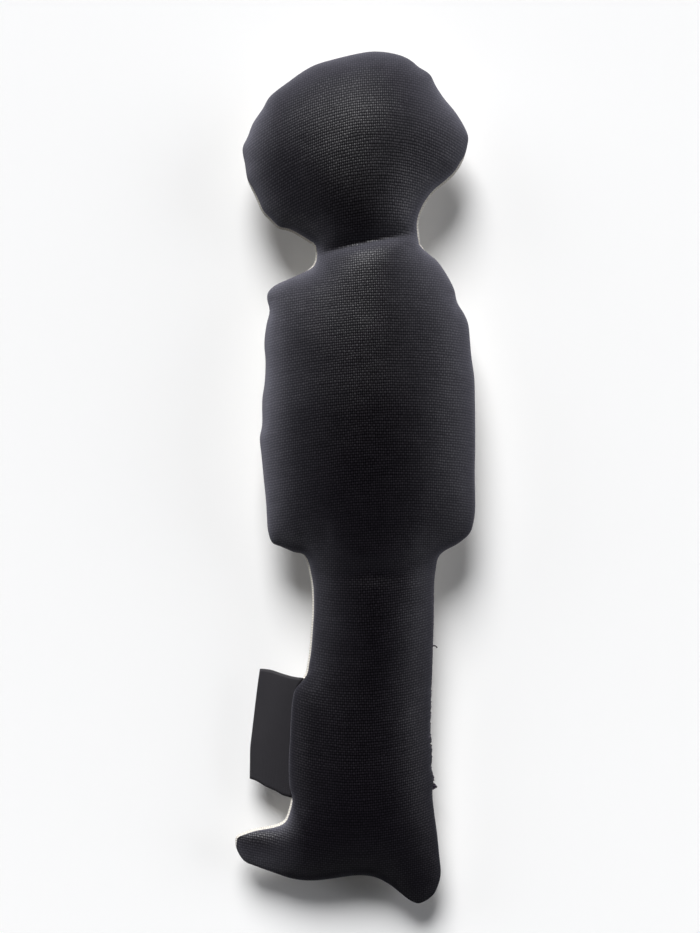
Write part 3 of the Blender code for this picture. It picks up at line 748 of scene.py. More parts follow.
def add_panel(name, points, faces, normals, threads):
    """One panel of cloth, shaded as part of the whole skin and keeping its places in the threads."""
    piece = add_mesh(name, points, faces)
    shade_smooth(piece)
    cloth = piece.data.attributes.new("threads", "FLOAT_VECTOR", "POINT")
    cloth.data.foreach_set("vector", threads.ravel())
    piece.data.normals_split_custom_set_from_vertices(normals)
    return piece


def add_pieces(obj, materials):
    """Parts the skin into the panels of every stretch."""
    mesh = obj.data
    points = mesh_points(mesh)
    normals = np.array([vertex.normal for vertex in mesh.vertices])
    flat = np.array([item.vector for item in mesh.attributes["flat"].data])
    threads = np.array([item.vector for item in mesh.attributes["threads"].data])
    panels = np.array([item.value for item in mesh.attributes["panel"].data])
    faces = np.array([tuple(face.vertices) for face in mesh.polygons])
    middles = flat[faces].mean(axis=1)[:, 1]
    zones = sum((middles < level).astype(int) for level in LEVELS.values())
    for panel, side in enumerate(("back", "front")):
        for zone, stretch in enumerate(STRETCHES):
            used, own = np.unique(faces[(panels == panel) & (zones == zone)], return_inverse=True)
            own = own.reshape(-1, 4)
            piece = add_panel(f"{side}_linen_{stretch}", points[used], own, normals[used], threads[used])
            piece.data.materials.append(materials[side])
            bend(piece, stretch)
            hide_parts(*(f"{node}_{side}_panel" for node in STANDS_FOR[stretch]))
            declare_cloth(threads[used], own)


def declare_cloth(threads, faces):
    """Works out how large the cloth of a panel was cut, without keeping it."""
    a, b, c, d = (threads[faces[:, k], :2] for k in range(4))
    first, second = c - a, d - b
    area = np.abs(first[:, 0] * second[:, 1] - first[:, 1] * second[:, 0]).sum() / 2


# What lies inside the cloth

STUFFING_EDGE = 1.5 * MM
STUFFING_CLEAR = 0.8 * MM
STUFFING_BULGE = 0.9 * MM
STUFFING_PARTING = 0.15 * MM
WALL_SHARES = (0.2, 0.4, 0.6, 0.8)
ON_LEVEL = 0.01 * MM


def partings(levels, zone, heights):
    """How far each point steps back from the next stretch of stuffing; nothing away from the cuts."""
    parting = np.zeros(len(heights))
    for number, level in enumerate(levels):
        on = np.abs(heights - level) < ON_LEVEL
        parting = np.where(on, STUFFING_PARTING * (1 if number >= zone else -1), parting)
    return parting


def rim_edges(faces):
    """The edges that only one face has, in order."""
    edges = {(a, b) for face in faces for a, b in zip(face, np.roll(face, -1))}
    return sorted((a, b) for a, b in edges if (b, a) not in edges)


def filling(top, bottom, out, parting, faces):
    """A closed, round-sided body between two layers of points: its points and its faces."""
    edges = rim_edges(faces)
    rim = sorted({a for edge in edges for a in edge})
    points = [top, bottom]
    rows = [{a: a for a in rim}]
    first = 2 * len(top)
    for share in WALL_SHARES:
        row = top[rim] * (1 - share) + bottom[rim] * share
        row[:, :2] += out[rim] * STUFFING_BULGE * math.sin(math.pi * share)
        points.append(row)
        rows.append({a: first + i for i, a in enumerate(rim)})
        first += len(rim)
    rows.append({a: len(top) + a for a in rim})
    walls = []
    for upper, lower in zip(rows, rows[1:]):
        walls += [(upper[b], upper[a], lower[a], lower[b]) for a, b in edges]
    points = np.vstack(points)
    points[:, 1] += np.concatenate([parting, parting, *[parting[rim]] * len(WALL_SHARES)])
    return points, [*faces, *(faces[:, ::-1] + len(top)), *walls]


def add_stuffing(skin, form, fibre):
    """Loose fibre that fills each stretch from within, clear of the cloth and of the next stretch."""
    pattern = form.pattern
    faces = pattern.faces[(pattern.deep > STUFFING_EDGE)[pattern.faces].all(axis=1)]
    levels = np.array(list(LEVELS.values()))
    zones = (pattern.flat[faces].mean(axis=1)[:, 1][:, None] < levels).sum(axis=1)
    for zone, stretch in enumerate(STRETCHES):
        used, own = np.unique(faces[zones == zone], return_inverse=True)
        own = own.reshape(-1, 3)
        parting = partings(levels, zone, pattern.flat[used, 1])
        top = skin.points[skin.back_of[used]] + np.array((0, 0, -STUFFING_CLEAR))
        bottom = skin.points[skin.front_of[used]] + np.array((0, 0, STUFFING_CLEAR))
        out = np.where((parting != 0)[:, None], 0.0, -form.seam_into[used])
        piece = add_mesh(f"stuffing_{stretch}", *filling(top, bottom, out, parting, own))
        piece.data.materials.append(fibre)
        shade_smooth(piece)
        bend(piece, stretch)
        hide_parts(*(f"{node}_stuffing" for node in STANDS_FOR[stretch]))


# The label in the left side seam of the leg, from its root to its fold

LABEL_TOP = ((304, 679), (294, 678), (282, 675), (270, 671.4), (259.3, 670.5))
LABEL_BOTTOM = ((292.4, 799.4), (283, 797), (276, 793), (265, 788.5), (256, 783.6), (248.9, 781.6))
LABEL_ROOT = ((304, 679), (298.5, 687), (294, 703), (292, 735), (290.5, 768), (292, 790), (292.4, 799.4))
LABEL_FOLD = (
    (259.3, 670.5), (257, 688), (254, 712), (251.4, 734), (249.5, 750), (249.2, 764), (248.9, 781.6),
)
EDGE_POINTS = 40
LABEL_EDGES = [
    evenly([spot(*point) for point in edge], EDGE_POINTS)
    for edge in (LABEL_TOP, LABEL_BOTTOM, LABEL_ROOT, LABEL_FOLD)
]
LABEL_LONG = 9.5 * MM
LABEL_DROP = 2.4 * MM
LABEL_BELLY = 0.5 * MM
LABEL_WAVE = 0.18 * MM
LABEL_WAVE_LONG = 9 * MM
RIBBON_WIDE = 25.4 * MM
RIBBON_HALF = 0.11 * MM
FOLD_ROUND = 0.3 * MM
LAYER_APART = 0.16 * MM
LAYER_BELLY = 0.12 * MM
UNDER_PEEK = 0.04 * MM
POINTS_ACROSS = 15
POINTS_ROUND_FOLD = 7
POINTS_DOWN = 41


def along_edge(line, share):
    """The place on an edge of the label at a share of its length."""
    return np.array([np.interp(share, np.linspace(0, 1, len(line)), line[:, k]) for k in (0, 1)])


def label_place(across, down):
    """A point of the label, by its shares of the way from root to fold and from top to bottom."""
    top, bottom, root, fold = LABEL_EDGES
    flat = (1 - down) * along_edge(top, across) + down * along_edge(bottom, across)
    flat += (1 - across) * along_edge(root, down) + across * along_edge(fold, down)
    corners = ((1 - across) * (1 - down) * root[0] + (1 - across) * down * root[-1]
               + across * (1 - down) * fold[0] + across * down * fold[-1])
    x, y = flat - corners
    level = seam_height(y) - LABEL_DROP * across + LABEL_BELLY * math.sin(math.pi * across)
    level += LABEL_WAVE * across * noise.noise(Vector((x, y, 0)) / LABEL_WAVE_LONG)
    return np.array((x, y, level))


def folded_row(down):
    """The ribbon's middle line: out on the upper layer, round the fold and home on the lower one."""
    across = np.linspace(0, 1, POINTS_ACROSS)
    turn = np.radians(np.linspace(90, -90, POINTS_ROUND_FOLD))[1:-1]
    mid = [label_place(share * (1 - FOLD_ROUND / LABEL_LONG), down) for share in across]
    out = (mid[-1] - mid[-2]) / np.linalg.norm(mid[-1] - mid[-2])
    apart = [LAYER_APART + LAYER_BELLY * math.sin(math.pi * share) for share in across]
    peek = np.array((0, UNDER_PEEK * (1 - 2 * down), 0))
    upper = [point + (0, 0, gap) for point, gap in zip(mid, apart)]
    lower = [point - (0, 0, gap) + peek for point, gap in zip(mid, apart)]
    fold = [mid[-1] + out * FOLD_ROUND * math.cos(t) + (0, 0, LAYER_APART * math.sin(t)) for t in turn]
    return [*upper, *fold, *lower[::-1]]


def thickened(grid):
    """A sheet with two faces and an edge all round, from a grid of points in its middle."""
    normal = np.cross(np.gradient(grid, axis=1), np.gradient(grid, axis=0))
    normal /= np.linalg.norm(normal, axis=2)[:, :, None]
    sides = [(grid + normal * half).reshape(-1, 3) for half in (RIBBON_HALF, -RIBBON_HALF)]
    tall, long = grid.shape[:2]
    number = np.arange(tall * long).reshape(tall, long)
    faces = []
    for i in range(tall - 1):
        for j in range(long - 1):
            a, b, c, d = number[i, j], number[i, j + 1], number[i + 1, j + 1], number[i + 1, j]
            faces.append((a, b, c, d))
            faces.append(tuple(tall * long + one for one in (d, c, b, a)))
    loop = [*number[0], *number[1:, -1], *number[-1, -2::-1], *number[-2:0:-1, 0]]
    for a, b in zip(loop, loop[1:] + loop[:1]):
        faces.append((b, a, a + tall * long, b + tall * long))
    return np.vstack(sides), faces


def add_label(ribbon):
    """Black ribbon folded double, sewn in at its open end: both layers and the turn between them."""
    downs = np.linspace(0, 1, POINTS_DOWN)
    grid = np.array([folded_row(down) for down in downs])
    run = np.linalg.norm(np.diff(grid, axis=1), axis=2).mean(axis=0)
    run = np.concatenate([[0], np.cumsum(run)])
    piece = add_mesh("label_ribbon", *thickened(grid))
    piece.data.materials.append(ribbon)
    shade_smooth(piece)
    places = np.array([(far, down * RIBBON_WIDE, 0) for down in downs for far in run] * 2)
    piece.data.attributes.new("threads", "FLOAT_VECTOR", "POINT").data.foreach_set("vector", places.ravel())
    root = np.array([label_place(0, 0), label_place(0, 1)]).mean(axis=0)
    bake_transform(piece)
    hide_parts("label_loop")


# Threads

THREAD_RADIUS = 0.13 * MM
THREAD_SIDES = 6

# The whip stitches: how far in they bite and start under the cloth, and how they lean over the seam
STITCH_BITE = 0.75 * MM
STITCH_START_SHARE = 2.2
STITCH_LEAN_SHARE = 0.3
STITCH_PULLED_IN = 0.06 * MM
STITCH_BURIED_UP = 0.5 * MM
STITCH_FINER = 10 / 3
SEAM_REACH = 2 * MM
NEAR_POINTS = 3
LEAST_AWAY = 0.01 * MM

# The knot, and the tuft of cut ends under it
KNOT = (432.6, 779.2)
KNOT_TURNS = 4
KNOT_TURN_POINTS = 6
KNOT_WIDE = 0.34 * MM
KNOT_TALL = 0.62 * MM
KNOT_WINDINGS = (0.83, 1.21)
TUFT_RISE = 0.18 * MM
TUFT_SPREAD = 2.3
TUFT_FINER = 8
TUFT_BASE = (
    (431.6, 783.6), (431.7, 784.6), (431.8, 785.6), (431.9, 786.6), (432.0, 787.6), (432.1, 788.6),
    (432.2, 789.6), (432.3, 790.6),
)
TUFT_TIPS = (
    (434.4, 784.4), (435.4, 785.5), (436.3, 786.5), (437.2, 787.5), (437.9, 788.4), (437.4, 789.2),
    (436.0, 789.9), (434.4, 790.9),
)

# The loose end of thread over the knee
THREAD_TAIL = ((431.5, 647.2), (433.8, 646.2), (435.8, 646.5), (437.4, 648.4))
TAIL_POINTS = 10
TAIL_RADII = (0.2, 0.12)
TAIL_RISE = 0.2 * MM


def add_thread(name, path, radius, material):
    """A round thread along a path, closed at both ends; the radius may change along it."""
    path = np.array(path)
    radius = np.broadcast_to(radius, len(path))
    way = np.gradient(path, axis=0)
    way /= np.linalg.norm(way, axis=1)[:, None]
    upright = abs(way[0][2]) > 0.9
    side = np.cross(way[0], (1.0, 0, 0) if upright else (0, 0, 1.0))
    turns = np.arange(THREAD_SIDES) * 2 * math.pi / THREAD_SIDES
    points = []
    for point, ahead, wide in zip(path, way, radius):
        side = side - ahead * (side @ ahead)
        side /= np.linalg.norm(side)
        up = np.cross(ahead, side)
        points += [point + (side * math.cos(t) + up * math.sin(t)) * wide for t in turns]
    faces = []
    for ring in range(len(path) - 1):
        for k in range(THREAD_SIDES):
            a, b = ring * THREAD_SIDES + k, ring * THREAD_SIDES + (k + 1) % THREAD_SIDES
            faces.append((a, b, b + THREAD_SIDES, a + THREAD_SIDES))
    faces.append(tuple(range(THREAD_SIDES))[::-1])
    faces.append(tuple(range(len(points) - THREAD_SIDES, len(points))))
    piece = add_mesh(name, points, faces)
    piece.data.materials.append(material)
    shade_smooth(piece)
    return piece


def cloth_level(points):
    """A function that gives the level of a panel with these points at a place seen from above."""
    tree = KDTree(len(points))
    for i, point in enumerate(points):
        tree.insert((point[0], point[1], 0.0), i)
    tree.balance()

    def level(x, y):
        found = tree.find_n((x, y, 0.0), NEAR_POINTS)
        share = np.array([1 / (away + LEAST_AWAY) for _, _, away in found])
        return float(share @ [points[i][2] for _, i, _ in found] / share.sum())

    return level


def right_seam(pattern, level):
    """The point of the right side seam at a level, and the direction into the doll there."""
    line, into = pattern.line, inward(pattern.line)
    right = np.flatnonzero((line[:, 0] > WIRE_X) & (np.abs(line[:, 1] - level) < SEAM_REACH))
    right = right[np.argsort(line[right, 1])]
    x = np.interp(level, line[right, 1], line[right, 0])
    ahead = [np.interp(level, line[right, 1], into[right, k]) for k in (0, 1)]
    return np.array((x, level)), np.array(ahead)


def whip_stitches(skin, pattern):
    """The thread's path over the right side seam: up from the front, over the edge and down into the back."""
    over, under = cloth_level(skin.points[skin.back_of]), cloth_level(skin.points[skin.front_of])
    path = []
    for number in range(round((CLOSING_TOP - CLOSING_BOTTOM) / STITCH) + 1):
        level = CLOSING_TOP - number * STITCH
        place, into = right_seam(pattern, level)
        seam_z = seam_height(level)
        slant = np.array((0, -STITCH_LEAN_SHARE * STITCH))
        front = place + into * STITCH_BITE
        back = front + slant
        edge = place + slant / 2 + into * STITCH_PULLED_IN
        path += [
            (*(place + into * STITCH_START_SHARE * STITCH_BITE), seam_z),
            (*front, under(*front) - THREAD_RADIUS / 2),
            (*edge, seam_z),
            (*back, over(*back) + THREAD_RADIUS / 2),
            (*(back + into * STITCH_BITE), seam_z + STITCH_BURIED_UP),
        ]
    return path


def knot_and_tuft():
    """The thread's path where it ends: wound into a knot, then to and fro over the cut ends."""
    x, y = spot(*KNOT)
    z = seam_height(y)
    down, up = KNOT_WINDINGS
    path = []
    for turn in np.arange(KNOT_TURNS * KNOT_TURN_POINTS) * 2 * math.pi / KNOT_TURN_POINTS:
        path.append((x + KNOT_WIDE * math.cos(turn), y + KNOT_TALL * math.sin(turn * down),
                     z + KNOT_TALL * math.sin(turn * up + 1)))
    for number, (base, tip) in enumerate(zip(TUFT_BASE, TUFT_TIPS)):
        for point in (base, tip, base):
            at = spot(*point)
            path.append((*at, seam_height(at[1]) + TUFT_RISE * math.sin(number * TUFT_SPREAD)))
    return path


def add_closing_thread(skin, pattern, material):
    """Whip stitches over the right side seam, ending in a knot."""
    stitches, end = whip_stitches(skin, pattern), knot_and_tuft()
    path = evenly(stitches + end, int(len(stitches) * STITCH_FINER) + len(end) * TUFT_FINER)
    piece = add_thread("closing_stitches", path, THREAD_RADIUS, material)
    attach(piece, "shin")
    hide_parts("closing_thread")


def add_thread_tail(material):
    """A short end of thread that sticks out of the right side seam over the knee."""
    points = [spot(*point) for point in THREAD_TAIL]
    path = evenly([(*point, seam_height(point[1]) + TAIL_RISE) for point in points], TAIL_POINTS)
    piece = add_thread("thread_tail", path, np.linspace(*TAIL_RADII, TAIL_POINTS) * MM, material)
    bend(piece, "knee")


# Materials

# The colour sockets of a mix node
MIX_SHARE = 0
MIX_FIRST = 6
MIX_SECOND = 7
MIXED = 2


def new_group(name, inputs, outputs):
    """A group of shader nodes with named inputs and outputs."""
    group = bpy.data.node_groups.new(name, "ShaderNodeTree")
    for label, kind, value in inputs:
        socket = group.interface.new_socket(label, in_out="INPUT", socket_type=kind)
        if value is not None:
            socket.default_value = value
    for label, kind in outputs:
        group.interface.new_socket(label, in_out="OUTPUT", socket_type=kind)
    return group


class Nodes:
    """Short ways to add and join the nodes of one tree."""

    def __init__(self, tree):
        self.tree = tree

    def fill(self, node, inputs):
        """Joins each named input of a node to a socket, or sets it to a plain value."""
        for key, value in inputs.items():
            if isinstance(value, bpy.types.NodeSocket):
                self.tree.links.new(value, node.inputs[key])
            else:
                node.inputs[key].default_value = value
        return node

    def add(self, kind, inputs=None, **settings):
        """A new node with its settings and inputs."""
        node = self.tree.nodes.new(kind)
        for name, value in settings.items():
            setattr(node, name, value)
        return self.fill(node, inputs or {})

    def sum(self, operation, *values):
        """The result of one step of arithmetic."""
        return self.add("ShaderNodeMath", dict(enumerate(values)), operation=operation).outputs[0]

    def noise(self, vector, scale, detail=2.0):
        node = self.add("ShaderNodeTexNoise", {"Vector": vector, "Scale": scale, "Detail": detail})
        return node.outputs["Fac"]

    def vector(self, x, y, z=0.0):
        return self.add("ShaderNodeCombineXYZ", {"X": x, "Y": y, "Z": z}).outputs[0]

    def parts(self, vector):
        """The three numbers of a vector."""
        return self.add("ShaderNodeSeparateXYZ", {0: vector}).outputs

    def place(self):
        """The place on the object itself."""
        return self.add("ShaderNodeTexCoord").outputs["Object"]

    def between(self, value, low, high, to_low=0.0, to_high=1.0):
        """The value, moved evenly from one span of values to another."""
        span = {"From Min": low, "From Max": high, "To Min": to_low, "To Max": to_high}
        return self.add("ShaderNodeMapRange", {"Value": value, **span}).outputs[0]

    def mix_color(self, share, first, second):
        """The first colour, gone over into the second by the share."""
        inputs = {MIX_SHARE: share, MIX_FIRST: first, MIX_SECOND: second}
        return self.add("ShaderNodeMix", inputs, data_type="RGBA").outputs[MIXED]

    def bump(self, height, strength, distance):
        """The way the surface faces once the height stands up from it."""
        inputs = {"Height": height, "Strength": strength, "Distance": distance}
        return self.add("ShaderNodeBump", inputs).outputs[0]


# How the yarns drift from an even distance, how round they are and how their tone changes
YARN_DRIFT = 500.0
YARN_DRIFT_LONG = 0.4
YARN_ROUND = 0.6
SLUB_ALONG = 160.0
SLUB_BY_YARN = 5.1
YARN_TONE_SHARE = 0.45
SLUB_TONE_SHARE = 1.1
SLUB_TONE_START = -0.28
CLOUDS = 160.0


def plain_weave():
    """Plain weave over the cloth's threads: how high the yarn stands, where a crosswise yarn lies on top,
    how bright each yarn is there, and broad clouds in the dye."""
    group = new_group("plain_weave", (
        ("Threads", "NodeSocketVector", None),
        ("Across", "NodeSocketFloat", 0.5 * MM),
        ("Along", "NodeSocketFloat", 0.6 * MM),
        ("Unevenness", "NodeSocketFloat", 0.3),
    ), (
        ("Height", "NodeSocketFloat"), ("Crosswise", "NodeSocketFloat"), ("Tone", "NodeSocketFloat"),
        ("Clouds", "NodeSocketFloat"),
    ))
    n = Nodes(group)
    given = group.nodes.new("NodeGroupInput").outputs
    x, y, _ = n.parts(given["Threads"])
    drift_x = n.noise(n.vector(x, n.sum("MULTIPLY", y, YARN_DRIFT_LONG)), YARN_DRIFT)
    drift_y = n.noise(n.vector(n.sum("MULTIPLY", x, YARN_DRIFT_LONG), y, 0.1), YARN_DRIFT)
    across, along = (
        n.sum("ADD", n.sum("DIVIDE", place, given[pitch]),
              n.sum("MULTIPLY", n.sum("SUBTRACT", drift, 0.5), given["Unevenness"]))
        for place, pitch, drift in ((x, "Across", drift_x), (y, "Along", drift_y))
    )
    wave_x, wave_y = (n.sum("SINE", n.sum("MULTIPLY", way, math.pi)) for way in (across, along))
    warp_up = n.sum("MULTIPLY_ADD", n.sum("MULTIPLY", n.sum("SIGN", wave_x), wave_y), 0.5, 0.5)
    weft_up = n.sum("MULTIPLY_ADD", n.sum("MULTIPLY", n.sum("SIGN", wave_y), wave_x), -0.5, 0.5)
    warp, weft = (
        n.sum("MULTIPLY", up, n.sum("POWER", n.sum("ABSOLUTE", wave), YARN_ROUND))
        for up, wave in ((warp_up, wave_x), (weft_up, wave_y))
    )
    warp_yarn, weft_yarn = n.sum("FLOOR", across), n.sum("FLOOR", along)
    yarns = n.vector(warp_yarn, weft_yarn)
    crossing = n.add("ShaderNodeTexWhiteNoise", {"Vector": yarns}, noise_dimensions="2D").outputs["Value"]
    slub = n.vector(n.sum("MULTIPLY", x, SLUB_ALONG), n.sum("MULTIPLY", weft_yarn, SLUB_BY_YARN))
    slub = n.sum("MULTIPLY_ADD", n.noise(slub, 1.0), SLUB_TONE_SHARE, SLUB_TONE_START)
    n.fill(group.nodes.new("NodeGroupOutput"), {
        "Height": n.sum("MAXIMUM", warp, weft),
        "Crosswise": n.sum("GREATER_THAN", weft, warp),
        "Tone": n.sum("MULTIPLY_ADD", crossing, YARN_TONE_SHARE, slub),
        "Clouds": n.noise(given["Threads"], CLOUDS, 3.0),
    })
    return group


def new_material(name):
    """A new material, its nodes and its shader."""
    material = bpy.data.materials.new(name)
    material.use_nodes = True
    return material, Nodes(material.node_tree), material.node_tree.nodes["Principled BSDF"]


# How high the yarns stand, how much smoother they are than the gaps, how the painted sheen differs from gap
# to yarn, and how the shine fades edge on
YARN_RELIEF = 0.15 * MM
YARN_SMOOTHER = 0.1
PAINTED_SHEEN_ON_YARN = (0.8, 1.2)
SHINE_LOST_FROM = 0.45
SHINE_LEFT_SHARE = 0.1

# Painted light and shade on the black linen: its painted sheen and its shine are made stronger or weaker
# along and across the cloth and in round patches, where the light falls more or less. A change runs across
# (0) or along (1) the cloth, between two places in millimetres, from one share to another. A patch has a
#     middle,
# how far it reaches both ways, and a share.
PATCH_EVEN = 0.2
PATCH_END = 1.5
# Painted sheen: fainter towards the feet and the crown, stronger at the far left; painted shade beside the
# label's root, painted light on the toe and on the right of the head.
PAINTED_SHEEN_CHANGES = ((1, -80, 30, 0.3, 1.15), (0, -28, -14, 2.4, 1.0), (1, 66, 98, 1.0, 0.75))
PAINTED_SHEEN_PATCHES = (((-17, -60), (7, 16), 0.42), ((-27, -84), (9, 9), 3.0), ((26, 76), (12, 18), 1.5))
# Shine: weaker on the foot and the crown, stronger at the far left and on the lower head, with painted
# highlights on the toe and on the head.
SHINE_CHANGES = (
    (1, -88, -62, 0.62, 1.0), (0, -28, -14, 1.5, 1.0), (1, 46, 62, 1.0, 1.3), (1, 68, 88, 1.0, 0.4),
)
SHINE_PATCHES = (((-27, -84), (9, 9), 1.5), ((7, 72), (15, 13), 1.6))
# The gap colour is painted shade between the yarns and the yarn colour a painted highlight on them; the pale
# edge-on colour is a painted sheen.
BLACK_LINEN = {
    "gap": (0.0004, 0.0003, 0.0005), "yarn": (0.0045, 0.003, 0.006), "warp_share": 0.66, "yarn_change": 0.35,
    "cloudy": 0.15, "pitch": (0.49 * MM, 0.6 * MM), "uneven": 1.0, "shine": 0.88, "coat_rough": 0.42,
    "rough": 0.7, "painted_sheen_color": (0.134, 0.132, 0.158), "bump": 0.4, "specular": 0.0, "sheen": 0.12,
    "sheen_rough": 0.3, "sheen_tint": (0.87, 0.86, 1.0),
}
NATURAL_LINEN = {
    "gap": (0.58, 0.54, 0.47), "yarn": (0.88, 0.85, 0.79), "warp_share": 0.8, "yarn_change": 0.25,
    "cloudy": 0.05, "pitch": (0.49 * MM, 0.6 * MM), "uneven": 1.0, "shine": 0.0, "coat_rough": 0.5,
    "rough": 0.9, "painted_sheen_color": None, "bump": 0.8, "specular": 0.25, "sheen": 0.1,
    "sheen_rough": 0.5, "sheen_tint": (1.0, 1.0, 1.0),
}
BLACK_RIBBON = {
    "gap": (0.012, 0.011, 0.014), "yarn": (0.027, 0.025, 0.030), "warp_share": 0.6, "yarn_change": 0.3,
    "cloudy": 0.1, "pitch": (0.36 * MM, 0.22 * MM), "uneven": 0.3, "shine": 0.1, "coat_rough": 0.5,
    "rough": 0.65, "painted_sheen_color": None, "bump": 0.3, "specular": 0.3, "sheen": 0.1,
    "sheen_rough": 0.3, "sheen_tint": (0.9, 0.88, 1.0),
}


def painted_light_and_shade_by_place(n, value, places, changes, patches):
    """The value, changed along and across the cloth and in round patches, as painted light and shade."""
    for axis, start, end, share_at_start, share_at_end in changes:
        change = n.between(places[axis], start * MM, end * MM, share_at_start, share_at_end)
        value = n.sum("MULTIPLY", value, change)
    for middle, reach, share in patches:
        away = [n.sum("DIVIDE", n.sum("SUBTRACT", places[k], middle[k] * MM), reach[k] * MM) for k in (0, 1)]
        far = n.sum("ADD", *(n.sum("MULTIPLY", one, one) for one in away))
        value = n.sum("MULTIPLY", value, n.between(far, PATCH_EVEN, PATCH_END, share, 1.0))
    return value


def lit_yarn(n, woven, look):
    """How much painted light the yarn gets: none in the gaps, which is painted shade, and most on a crosswise
    yarn, which is a painted highlight; the yarn's own tone and clouds vary it too.
    """
    side = n.between(woven["Crosswise"], 0.0, 1.0, look["warp_share"], 1.0)
    tone = n.between(woven["Tone"], 0.0, 1.0, 1.0 - look["yarn_change"], 1.0 + look["yarn_change"])
    clouds = n.between(woven["Clouds"], 0.3, 0.7, 1.0 - look["cloudy"], 1.0 + look["cloudy"])
    height = n.sum("MULTIPLY", n.between(woven["Height"], 0.3, 0.85), side)
    return n.sum("MULTIPLY", height, n.sum("MULTIPLY", tone, clouds))


def woven_cloth(name, weave, look):
    """Plain woven cloth: painted shade between the yarns, and a painted highlight with more shine where a
    crosswise yarn lies on top.
    """
    material, n, shader = new_material(name)
    threads = n.add("ShaderNodeAttribute", attribute_name="threads").outputs["Vector"]
    across, along = look["pitch"]
    cut = {"Threads": threads, "Across": across, "Along": along, "Unevenness": look["uneven"]}
    woven = n.add("ShaderNodeGroup", cut, node_tree=weave).outputs
    lit = lit_yarn(n, woven, look)
    shine = n.sum("MULTIPLY", lit, look["shine"]) if look["shine"] else 0.0
    # Colour from gap to yarn by the painted light: painted shade between the yarns, painted highlight on
    # them.
    color = n.mix_color(lit, (*look["gap"], 1.0), (*look["yarn"], 1.0))
    # Painted sheen: a pale colour mixed into the base colour edge on, made stronger or weaker by place as
    # painted light and shade.
    if look["painted_sheen_color"]:
        edge_on = n.add("ShaderNodeLayerWeight", {"Blend": 0.5}).outputs["Facing"]
        places = n.parts(threads)
        painted_sheen_share = n.sum("MULTIPLY", edge_on, n.between(lit, 0.0, 1.0, *PAINTED_SHEEN_ON_YARN))
        painted_sheen_share = painted_light_and_shade_by_place(n, painted_sheen_share, places, PAINTED_SHEEN_CHANGES, PAINTED_SHEEN_PATCHES)
        color = n.mix_color(painted_sheen_share, color, (*look["painted_sheen_color"], 1.0))
        shine = n.sum("MULTIPLY", shine, n.between(edge_on, 0.0, SHINE_LOST_FROM, 1.0, SHINE_LEFT_SHARE))
        # The shine is made stronger or weaker by place as well, as painted light and shade.
        shine = painted_light_and_shade_by_place(n, shine, places, SHINE_CHANGES, SHINE_PATCHES)
    normal = n.bump(woven["Height"], look["bump"], YARN_RELIEF)
    n.fill(shader, {
        "Base Color": color, "Normal": normal, "Coat Normal": normal,
        "Roughness": n.between(lit, 0.0, 1.0, look["rough"], look["rough"] - YARN_SMOOTHER),
        "Specular IOR Level": look["specular"], "Sheen Weight": look["sheen"],
        "Sheen Roughness": look["sheen_rough"], "Sheen Tint": (*look["sheen_tint"], 1.0),
    })
    if look["shine"]:
        n.fill(shader, {"Coat Weight": shine, "Coat Roughness": look["coat_rough"]})
    return material


def fibre_fill():
    """Loose white fibre: soft lumps with fine strands over them."""
    material, n, shader = new_material("loose_fibre")
    place = n.place()
    lumps = n.noise(place, 180.0, 3.0)
    strands = n.noise(n.vector(n.sum("MULTIPLY", lumps, 3.0), n.noise(place, 900.0, 4.0)), 12.0, 4.0)
    n.fill(shader, {
        "Base Color": n.mix_color(strands, (0.72, 0.71, 0.67, 1), (0.9, 0.89, 0.86, 1)),
        "Normal": n.bump(n.sum("MULTIPLY_ADD", strands, 0.3, lumps), 0.6, 0.6 * MM),
        "Roughness": 0.95, "Sheen Weight": 0.4,
    })
    return material


def soft_wire():
    """Soft aluminium wire, drawn lengthwise and a little dull from handling."""
    material, n, shader = new_material("soft_wire")
    place = n.place()
    x, y, z = (n.sum("MULTIPLY", part, stretch) for part, stretch in zip(n.parts(place), (9.0, 0.4, 9.0)))
    drawn = n.noise(n.vector(x, y, z), 700.0, 3.0)
    n.fill(shader, {
        "Base Color": n.mix_color(n.noise(place, 260.0, 3.0), (0.50, 0.51, 0.53, 1), (0.74, 0.75, 0.77, 1)),
        "Roughness": n.between(drawn, 0.3, 0.7, 0.32, 0.5),
        "Normal": n.bump(drawn, 0.2, 0.05 * MM),
        "Metallic": 1.0,
    })
    return material


def ridges(n, run, apart):
    """Rounded ridges, as of cord laid side by side, at an even distance along a run."""
    return n.sum("ABSOLUTE", n.sum("SINE", n.sum("MULTIPLY", run, math.pi / apart)))


def cotton_tape():
    """Pale cloth tape wound round the wire, in fine ribs."""
    material, n, shader = new_material("cotton_tape")
    place = n.place()
    rib = ridges(n, n.parts(place)[1], 0.35 * MM)
    tone = n.sum("MULTIPLY", rib, n.noise(place, 1400.0, 3.0))
    n.fill(shader, {
        "Base Color": n.mix_color(tone, (0.50, 0.48, 0.43, 1), (0.82, 0.80, 0.74, 1)),
        "Normal": n.bump(rib, 0.5, 0.08 * MM),
        "Roughness": 0.9,
    })
    return material


def sewing_thread():
    """Black two-ply sewing thread: a fine twist with a dull shine."""
    material, n, shader = new_material("sewing_thread")
    place = n.place()
    x, y, _ = n.parts(place)
    twist = ridges(n, n.sum("ADD", y, n.sum("MULTIPLY", x, 0.7)), 0.14 * MM)
    tone = n.sum("MULTIPLY", twist, n.noise(place, 2500.0))
    n.fill(shader, {
        "Base Color": n.mix_color(tone, (0.006, 0.003, 0.009, 1), (0.045, 0.025, 0.065, 1)),
        "Normal": n.bump(twist, 0.6, 0.04 * MM),
        "Roughness": 0.55,
    })
    return material


# Table, light and camera

TABLE_HALF = 3.0
TABLE_SUNK = 0.02 * MM

# How light the room is away from its lamps, and the rises between which its pale walls end
ROOM_LEVEL = 0.008
WALL_TOP = (0.12, 0.35)

